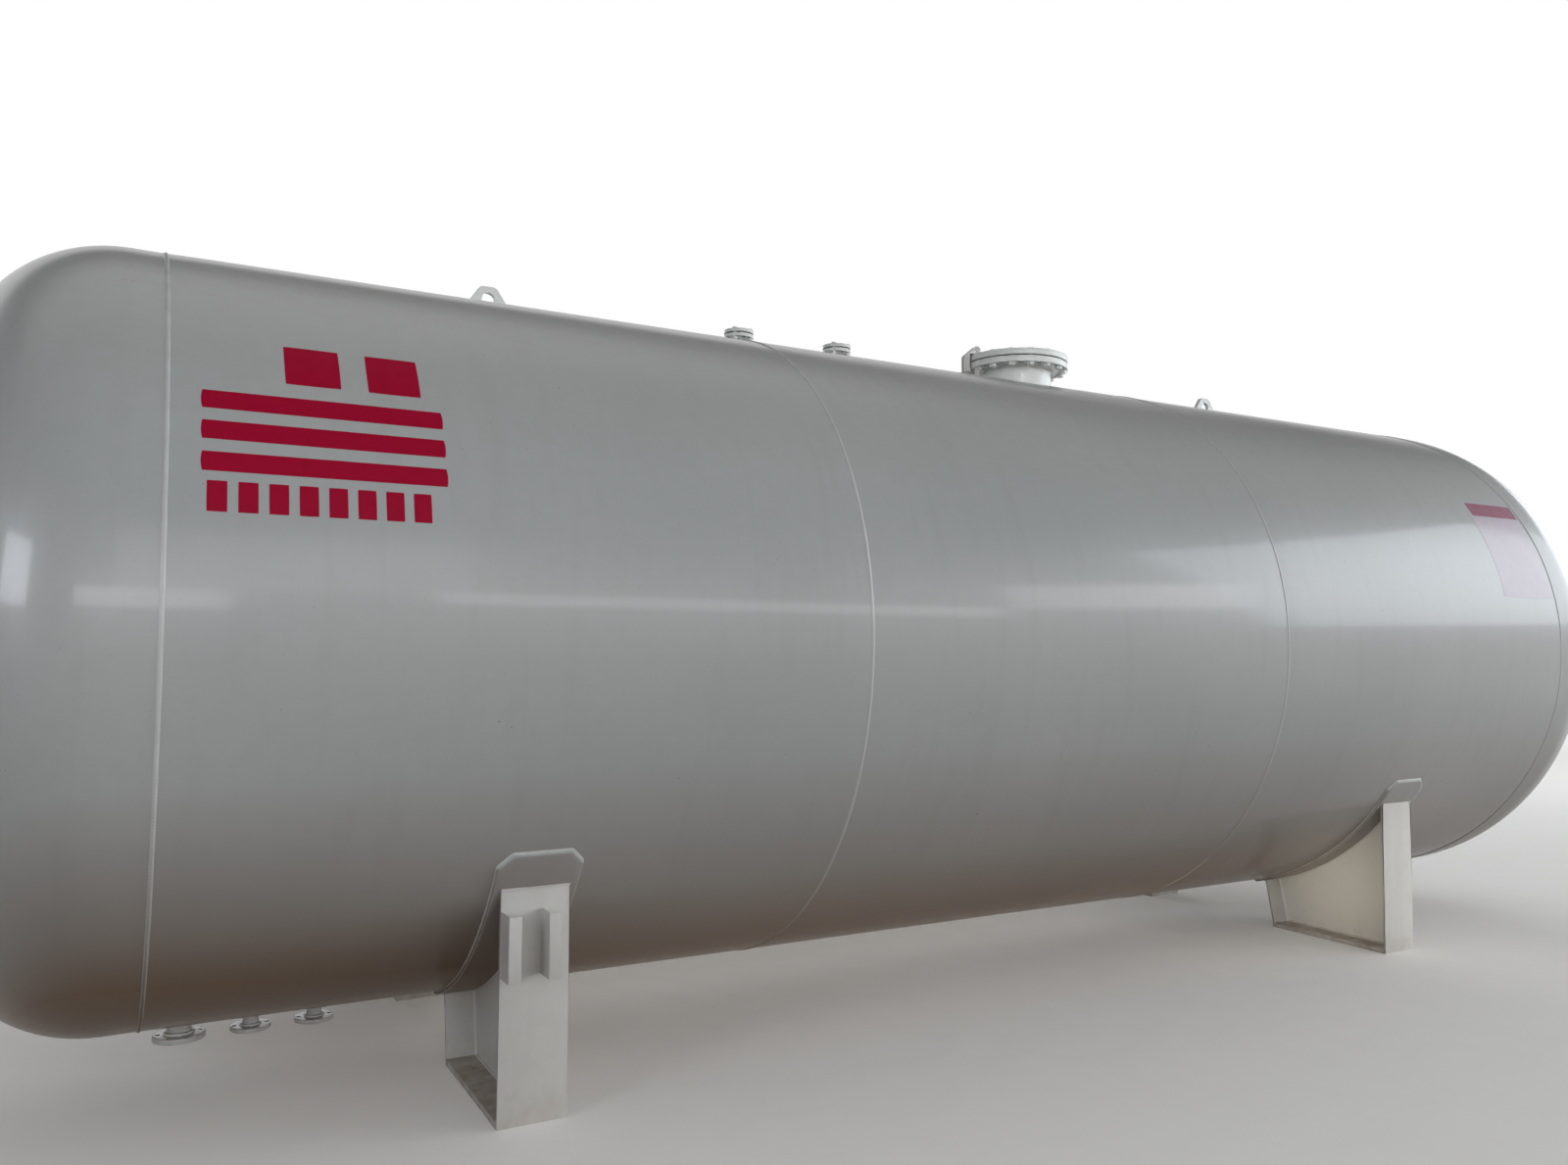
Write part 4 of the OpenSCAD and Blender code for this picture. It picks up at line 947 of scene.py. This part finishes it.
# Wear pad, drawn for the right front: a grid over (across, angle) at the pad's radius, and a
# rounded edge of rows that go outwards and down to the shell. Also gives the rim's loop.
def wearPad():
    lowAngle = np.pi - math.asin(legs["padLowY"] / padRadius)
    drop = vessel["axisHeight"] - legs["padTop"]
    highAngle = np.pi - math.acos(drop / padRadius)
    cornerAngle = np.pi - math.acos((drop + legs["padCorner"]) / padRadius)
    angle = np.concatenate([np.linspace(lowAngle, cornerAngle, 30), np.linspace(cornerAngle, highAngle, 6)[1:]])
    z = vessel["axisHeight"] + padRadius * np.cos(angle)
    across = padHalf(z)[:, None] * np.linspace(-1, 1, 13)
    flat = np.stack([across, np.broadcast_to((angle * padRadius)[:, None], across.shape)], -1)
    rim, edge = borderOf(flat), legs["padEdge"]
    # the grid is drawn in by the rounding so that the rows around it end on the outline
    loops = [insetOutline(rim, d) for d in (edge, 0.3 * edge, 0.0, 0.0)]
    heights = [0.0, -0.3 * edge, -edge, -legs["padThickness"] - 0.002]
    setBorder(flat, loops[0])

    def bend(points, rise):
        a = points[..., 1] / padRadius
        r = padRadius + rise
        return np.stack([legs["x"] + points[..., 0], -r * np.sin(a), vessel["axisHeight"] + r * np.cos(a)], -1)

    side = np.stack([bend(loop, rise) for loop, rise in zip(loops, heights)])
    under = bend(flat, heights[-1])
    setBorder(under, side[-1])
    return [gridPart(bend(flat, 0.0)), gridPart(side, wrapColumns=True), gridPart(under)], rim


# Fillet all round the pad: the corner is the rim's loop on the shell, one direction goes outwards
# in the shell's surface and the other straight off it.
def padWeld(rim):
    closedRim = np.concatenate([rim, rim[:1]])
    step = np.linalg.norm(np.diff(closedRim, axis=0), axis=1)
    length = np.concatenate([[0], np.cumsum(step)])
    s = np.linspace(0, length[-1], int(length[-1] / filletLook["step"]), endpoint=False)
    loop = np.stack([np.interp(s, length, closedRim[:, k]) for k in (0, 1)], 1)
    for _ in range(3):  # eases the turns at the corners
        loop = (np.roll(loop, 1, 0) + 2 * loop + np.roll(loop, -1, 0)) / 4
    outward = loop - insetOutline(loop, 1.0)
    outward /= np.linalg.norm(outward, axis=1, keepdims=True)
    a = loop[:, 1] / padRadius
    radius = shellRadius(legs["x"], a)
    corner = np.stack([legs["x"] + loop[:, 0], -radius * np.sin(a), vessel["axisHeight"] + radius * np.cos(a)], -1)
    around = np.stack([0 * a, -np.cos(a), -np.sin(a)], -1)
    first = np.stack([outward[:, 0], 0 * a, 0 * a], -1) + outward[:, 1:] * around
    second = np.stack([0 * a, -np.sin(a), np.cos(a)], -1)
    return filletWeld(corner, first, second, legs["padWeld"], closed=True, seed=61)


# The plates of the right front leg: outlines across the tank (y, z), carried along it. The web is
# two faces, each a blend from the straight foot to the arc under the pad.
def legPlates():
    p, x0, x1 = legs["plate"], legs["x"] - legs["width"] / 2, legs["x"] + legs["width"] / 2
    outY, inY = -legs["outerY"], -legs["outerY"] + p
    outer = plate([(outY, 0), (inY, 0), (inY, padHeight(inY)), (outY, padHeight(outY))], x0, x1, "YZX")
    topZ = padHeight(legs["topY"])
    inner = plate([(-legs["footY"], legs["base"]), (p - legs["footY"], legs["base"]),
                   (p - legs["topY"], padHeight(p - legs["topY"])), (-legs["topY"], topZ)], x0, x1, "YZX")
    u, v = np.meshgrid(np.linspace(0, 1, 30), np.linspace(0, 1, 9), indexing="ij")
    footY, arcY = inY + (-legs["footY"] - inY) * u, inY + (-legs["topY"] - inY) * u
    face = np.stack([0 * u, footY + (arcY - footY) * v, legs["base"] + (padHeight(arcY) - legs["base"]) * v], -1)
    away = np.array([p / 2, 0, 0])
    web = np.concatenate([face - away, (face + away)[:, ::-1]], 1) + np.array([legs["x"], 0, 0])
    web = gridPart(web, wrapColumns=True, caps=True)
    footIn = p - legs["footY"]
    base = plate([(inY, 0), (footIn, 0), (footIn, legs["base"]), (inY, legs["base"])], x0, x1, "YZX")
    return outer, web, inner, base


# Welds of that leg: along the web's two sides, under the pad, and over the outer plate's top.
def legWelds():
    p, x0, x1, leg = legs["plate"], legs["x"] - legs["width"] / 2, legs["x"] + legs["width"] / 2, legs["weld"]
    outY, inY, base = -legs["outerY"], p - legs["outerY"], legs["base"]
    parts = []
    for s in (-1, 1):
        wx = legs["x"] + s * p / 2
        parts.append(straightFillet((wx, inY, base), (wx, inY, padHeight(inY)), (s, 0, 0), (0, 1, 0), leg, 71))
        parts.append(straightFillet((wx, inY, base), (wx, -legs["footY"], base), (s, 0, 0), (0, 0, 1), leg, 72))
        parts.append(straightFillet((wx, -legs["footY"], base), (wx, -legs["topY"], padHeight(legs["topY"])),
                                    (s, 0, 0), (0, -1, 0), leg, 73))
        y = np.linspace(inY, -legs["topY"], 260)
        z = padHeight(y)
        off = np.stack([0 * y, y, z - vessel["axisHeight"]], -1) / padRadius
        corner = np.stack([np.full(len(y), wx), y, z], -1)
        parts.append(filletWeld(corner, np.tile([float(s), 0, 0], (len(y), 1)), off, leg, seed=74))
    z = padHeight(outY)
    off = np.array([0, outY, z - vessel["axisHeight"]]) / padRadius
    upAlong = np.array([0, off[2], -off[1]])
    parts.append(straightFillet((x0, outY, z), (x1, outY, z), upAlong * np.sign(upAlong[2]), (0, -1, 0), leg, 75))
    parts.append(straightFillet((x0, inY, base), (x1, inY, base), (0, 1, 0), (0, 0, 1), leg, 76))
    parts.append(straightFillet((x0, p - legs["footY"], base), (x1, p - legs["footY"], base),
                                (0, -0.2, 0), (0, 0, 0.2), leg, 77))
    z = padHeight(p - legs["topY"])
    parts.append(straightFillet((x0, p - legs["topY"], z), (x1, p - legs["topY"], z), (0, 1, 0), (0, 0, -1), leg, 78))
    return parts


padParts, padRim = wearPad()
aroundPad = padWeld(padRim)
*sidePlates, basePart = legPlates()
plateParts = dict(zip(("outer_plate", "web", "inner_plate"), sidePlates))
weldParts = legWelds()
for end, signX in (("left", -1), ("right", 1)):
    for side, signY in (("front", 1), ("rear", -1)):
        tail = "_" + end + "_" + side
        name = end.title() + side.title()
        addPiece("wearPad" + name, [mirrorPart(p, signX, signY) for p in padParts], tankPaint, "wear_pad" + tail)
        addPiece("padWeld" + name, mirrorPart(aroundPad, signX, signY), padWeldShadedPaint)
        for kind, part in plateParts.items():
            addPiece("leg" + kind.title().replace("_", "") + name, mirrorPart(part, signX, signY), legPaintWithPaintedLight,
                     "leg_" + kind + tail)
        addPiece("basePlate" + name, mirrorPart(basePart, signX, signY), footPaintWithPaintedLight, "base_plate" + tail)
        addPiece("legWelds" + name, [mirrorPart(p, signX, signY) for p in weldParts], legPaintWithPaintedLight)

# bracket for a bolted plate on the left front leg: two folded angles
bracket = {"x": -2.5806, "span": 0.187, "low": 0.51386, "height": 0.225, "depth": 0.100, "lip": 0.045, "sheet": 0.004}


def foldedAngle(x):
    k, y = bracket, -legs["outerY"] - bracket["depth"]
    outline = [(x, y), (x + k["lip"], y), (x + k["lip"], y + k["sheet"]), (x + k["sheet"], y + k["sheet"]),
               (x + k["sheet"], -legs["outerY"]), (x, -legs["outerY"])]
    return plate(outline, k["low"], k["low"] + k["height"], "XYZ", edge=0.0007, corner=[0.004] + 5 * [0.001])


bracketParts = []
for x in (bracket["x"], bracket["x"] + bracket["span"] - bracket["lip"]):
    bracketParts.append(foldedAngle(x))
    for offset, s in ((0, -1), (bracket["sheet"], 1)):
        bracketParts.append(straightFillet((x + offset, -legs["outerY"], bracket["low"]),
                                           (x + offset, -legs["outerY"], bracket["low"] + bracket["height"]),
                                           (s, 0, 0), (0, -1, 0), 0.004 if s > 0 else 0.0018, seed=81))
addPiece("plateBracket", bracketParts, legPaintWithPaintedLight, "plate_bracket")
print("legs and bracket ready")

# painted marks: plain crimson shapes and a bare panel, x from the left seam, height from the axis
marks = {"rise": 0.0005, "sink": 0.0006, "cell": 0.022, "stripeLows": (0.488, 0.5905, 0.693), "stripeHeight": 0.062,
         "dashStart": 0.108, "dashStep": 0.0857, "dashWidth": 0.056}


# A thin film on the shell: (u, v) in a square is squeezed towards a round by its roundness, laid
# on the shell by (place, arc), and its edge goes down into the plate.
def film(x0, x1, z0, z1, roundness=0.04):
    s0, s1 = (vessel["radius"] * math.asin(z / vessel["radius"]) for z in (z0, z1))
    nu, nv = (max(9, int(abs(b - a) / marks["cell"])) for a, b in ((x0, x1), (s0, s1)))
    u, v = np.meshgrid(np.linspace(-1, 1, nu), np.linspace(-1, 1, nv), indexing="ij")
    x = (x0 + x1) / 2 + (x1 - x0) / 2 * u * np.sqrt(1 - roundness * v ** 2 / 2) - halfShell
    s = (s0 + s1) / 2 + (s1 - s0) / 2 * v * np.sqrt(1 - roundness * u ** 2 / 2)
    angle = np.pi / 2 - s / vessel["radius"]
    top, under = onShell(x, angle, marks["rise"]), onShell(x, angle, -marks["sink"])
    edge = np.stack([borderOf(top), borderOf(under)])
    return [gridPart(top), gridPart(edge, wrapColumns=True), gridPart(under)]


stripes = [film(0.091, 0.822, z, z + marks["stripeHeight"]) for z in marks["stripeLows"]]
dashes = [film(x, x + marks["dashWidth"], 0.362, 0.458)
          for x in marks["dashStart"] + marks["dashStep"] * np.arange(8)]
addPiece("crimsonStripes", sum(stripes, []), crimsonFilm, sharp=50)
addPiece("crimsonRow", sum(dashes, []), crimsonFilm, sharp=50)
addPiece("crimsonTop", film(0.335, 0.505, 0.805, 0.950) + film(0.590, 0.760, 0.805, 0.950), crimsonFilm, sharp=50)
addPiece("panelSheet", film(6.790, 7.287, 0.280, 0.766), paleFilm, sharp=50)
addPiece("panelStrip", film(6.822, 7.286, 0.770, 0.850), fadedFilm, sharp=50)
print("marks ready")

# floor, world and lamps
stageLook = {"floor": (0.86, 0.84, 0.81), "whiteReach": (9.0, 26.0), "glowWithPaintedShade": (0.12, 0.42), "glowReach": (1.5, 8.0),
             "bounce": (0.12, 0.062, 0.024), "patch": (0.90, 0.69, 0.44), "patchPlace": (-0.9, 1.1, 0.0),
             "patchReach": (1.7, 3.1), "zenith": 0.15, "horizon": 0.21, "brightSide": 4.25,
             "brightFrom": (0.86, -0.51, 0.0), "overhead": 0.30, "darkEdge": 0.08, "paleMiddle": 0.62}


def seenRay(tree):  # 1 for what the camera sees, straight, mirrored or through glass
    path = tree.nodes.new("ShaderNodeLightPath")
    return calc(tree, "MAXIMUM", path.outputs["Is Camera Ray"],
                calc(tree, "MAXIMUM", path.outputs["Is Glossy Ray"], path.outputs["Is Transmission Ray"]))


# Plain pale floor that fades to white far out. Where the camera looks it glows, less near the tank:
# a painted shadow around and under it, which the tank's lower side also mirrors. The light it throws
# up on the tank is dimmer and warmer than it looks, with a paler patch under the middle.
def makeFloor():
    material, tree, shader = newMaterial("paleFloor")
    tree.nodes.remove(shader)
    out = tree.nodes["Material Output"]
    place = tree.nodes.new("ShaderNodeTexCoord").outputs["Object"]
    far = addNode(tree, "ShaderNodeVectorMath", {0: place}, operation="LENGTH").outputs["Value"]
    far = ramp(tree, far, *stageLook["whiteReach"])
    off = addNode(tree, "ShaderNodeVectorMath", {0: place, 1: (0.5, 1.0, 0.0)}, operation="MULTIPLY").outputs[0]
    off = addNode(tree, "ShaderNodeVectorMath", {0: off}, operation="LENGTH").outputs["Value"]
    darker = tuple(0.95 * c for c in stageLook["floor"])
    grain = mixColour(tree, ramp(tree, noise(tree, place, 5, 4), 0.3, 0.7, (0, 0.5)), stageLook["floor"], darker)
    seen = addNode(tree, "ShaderNodeBsdfDiffuse", {"Color": grain})
    # the glow is weaker near the tank: a painted shadow, mirrored in the tank's lower side
    glowWithPaintedShade = ramp(tree, off, *stageLook["glowReach"], stageLook["glowWithPaintedShade"])
    glowWithPaintedShade = addNode(tree, "ShaderNodeEmission", {"Color": grain, "Strength": glowWithPaintedShade})
    seen = addNode(tree, "ShaderNodeAddShader", {0: seen.outputs[0], 1: glowWithPaintedShade.outputs[0]})
    white = addNode(tree, "ShaderNodeEmission", {"Color": (1, 1, 1, 1), "Strength": 1.0})
    seen = addNode(tree, "ShaderNodeMixShader", {0: far, 1: seen.outputs[0], 2: white.outputs[0]})
    away = addNode(tree, "ShaderNodeVectorMath", {0: place, 1: stageLook["patchPlace"]}, operation="DISTANCE")
    away = ramp(tree, away.outputs["Value"], *stageLook["patchReach"])
    bounce = mixColour(tree, away, stageLook["patch"], stageLook["bounce"])
    bounce = addNode(tree, "ShaderNodeBsdfDiffuse", {"Color": bounce})
    both = addNode(tree, "ShaderNodeMixShader", {0: seenRay(tree), 1: bounce.outputs[0], 2: seen.outputs[0]})
    tree.links.new(both.outputs[0], out.inputs["Surface"])
    mesh = bpy.data.meshes.new("floor")
    mesh.from_pydata([(-60, -60, 0), (60, -60, 0), (60, 60, 0), (-60, 60, 0)], [], [(0, 1, 2, 3)])
    mesh.materials.append(material)
    floor = bpy.data.objects.new("floor", mesh)
    bpy.context.scene.collection.objects.link(floor)


makeFloor()


# Soft surroundings: white where the camera looks, and in gloss too up to a dimmer part overhead,
# which behind the tank has a dark edge and a paler middle. The light they give falls off from the
# horizon to overhead, and comes mostly from the front and right.
def makeWorld():
    world = bpy.data.worlds.new("softSky")
    bpy.context.scene.world = world
    world.use_nodes = True
    tree = world.node_tree
    direction = tree.nodes.new("ShaderNodeTexCoord").outputs["Generated"]
    up = addNode(tree, "ShaderNodeSeparateXYZ", {0: direction}).outputs["Z"]
    side = addNode(tree, "ShaderNodeVectorMath", {0: direction, 1: stageLook["brightFrom"]}, operation="DOT_PRODUCT")
    side = ramp(tree, side.outputs["Value"], 0.15, 0.95, (0.1 * stageLook["brightSide"], stageLook["brightSide"]))
    low = calc(tree, "MULTIPLY", ramp(tree, up, 0.0, 0.36, (1.0, 0.0)), calc(tree, "ADD", side, stageLook["horizon"]))
    low = calc(tree, "ADD", low, stageLook["zenith"])
    soft = addNode(tree, "ShaderNodeBackground", {"Color": (0.97, 0.99, 1.0, 1), "Strength": low})
    camera = tree.nodes.new("ShaderNodeLightPath").outputs["Is Camera Ray"]
    depth = addNode(tree, "ShaderNodeSeparateXYZ", {0: direction}).outputs["Y"]
    behind = ramp(tree, depth, 0.0, 0.3)
    rear = calc(tree, "MULTIPLY", ramp(tree, up, 0.50, 0.60, (1.0, 0.0)), ramp(tree, depth, 0.4, 0.75))
    rear = calc(tree, "MAXIMUM", rear, ramp(tree, up, 0.28, 0.42, (1.0, stageLook["darkEdge"])))
    rear = calc(tree, "ADD", rear, ramp(tree, up, 0.68, 0.84, (0.0, stageLook["paleMiddle"])))
    front = calc(tree, "MULTIPLY", ramp(tree, up, 0.28, 0.55, (1.0, stageLook["overhead"])),
                 calc(tree, "SUBTRACT", 1.0, behind))
    gloss = calc(tree, "ADD", calc(tree, "MULTIPLY", rear, behind), front)
    gloss = calc(tree, "MAXIMUM", camera, gloss)
    plain = addNode(tree, "ShaderNodeBackground", {"Color": (1, 1, 1, 1), "Strength": gloss})
    both = addNode(tree, "ShaderNodeMixShader", {0: seenRay(tree), 1: soft.outputs[0], 2: plain.outputs[0]})
    tree.links.new(both.outputs[0], tree.nodes["World Output"].inputs["Surface"])


makeWorld()

# Soft boxes: place, point they face, width, height, radiance, colour. The long low ones give the
# narrow bright band along the side, and the wide one at the right its broad end. Three narrow ones
# lift the right legs and the fittings on top.
softBoxes = {
    "leftEnd": ((-11.6, -5.4, 3.9), (-4.0, -1.4, 1.9), 2.8, 2.4, 7.2, (0.86, 0.91, 1.0)),
    "leftSpot": ((-5.2, -9.9, 3.3), (-3.8, -1.4, 1.8), 4.8, 0.85, 4.2, (0.95, 0.97, 1.0)),
    "leftWash": ((-2.2, -9.6, 4.9), (-2.2, 0, 1.9), 3.6, 2.6, 1.05, (0.97, 0.98, 1.0)),
    "band": ((2.4, -9.0, 3.35), (2.4, 0, 1.9), 7.0, 0.5, 3.2, (1.0, 0.98, 1.0)),
    "bandRight": ((7.2, -8.0, 4.2), (2.5, 0, 1.9), 3.0, 1.3, 2.6, (1.0, 0.99, 1.0)),
    "opening": ((15.2, -8.0, 6.45), (2.5, -1.5, 1.7), 7.6, 6.7, 2.6, (0.84, 0.925, 1.0)),
    "openingEnd": ((15.5, -0.9, 5.1), (3.8, -1.3, 2.4), 6.3, 4.5, 2.3, (0.84, 0.925, 1.0)),
    "rear": ((2.5, 10.0, 4.7), (0.5, 0, 3.0), 14.0, 3.0, 3.5, (0.94, 0.975, 1.0)),
    "underRight": ((0.4, -0.9, 0.27), (2.46, -0.85, 0.34), 0.6, 0.36, 0.95, (1.0, 0.91, 0.74)),
    "frontRight": ((4.6, -4.6, 0.8), (2.6, -1.2, 0.35), 1.0, 0.5, 0.7, (1.0, 0.98, 0.95)),
    "overTop": ((-2.0, -9.0, 5.0), (1.1, 0, 4.15), 1.0, 0.6, 1.2, (0.95, 0.98, 1.0)),
}
narrowBoxes = {"underRight": 34, "frontRight": 24, "overTop": 20}  # degrees that these spread over
for name, (place, target, width, height, radiance, colour) in softBoxes.items():
    data = bpy.data.lights.new(name, "AREA")
    data.shape = "RECTANGLE"
    data.size, data.size_y = width, height
    data.energy = radiance * math.pi * width * height
    data.color = colour
    data.spread = math.radians(narrowBoxes.get(name, 180))
    lamp = bpy.data.objects.new(name, data)
    lamp.visible_camera = False
    turn = (Vector(target) - Vector(place)).to_track_quat("-Z", "Y")
    lamp.matrix_world = Matrix.Translation(place) @ turn.to_matrix().to_4x4()
    bpy.context.scene.collection.objects.link(lamp)

bpy.context.scene.view_settings.view_transform = "Standard"
print("stage ready")
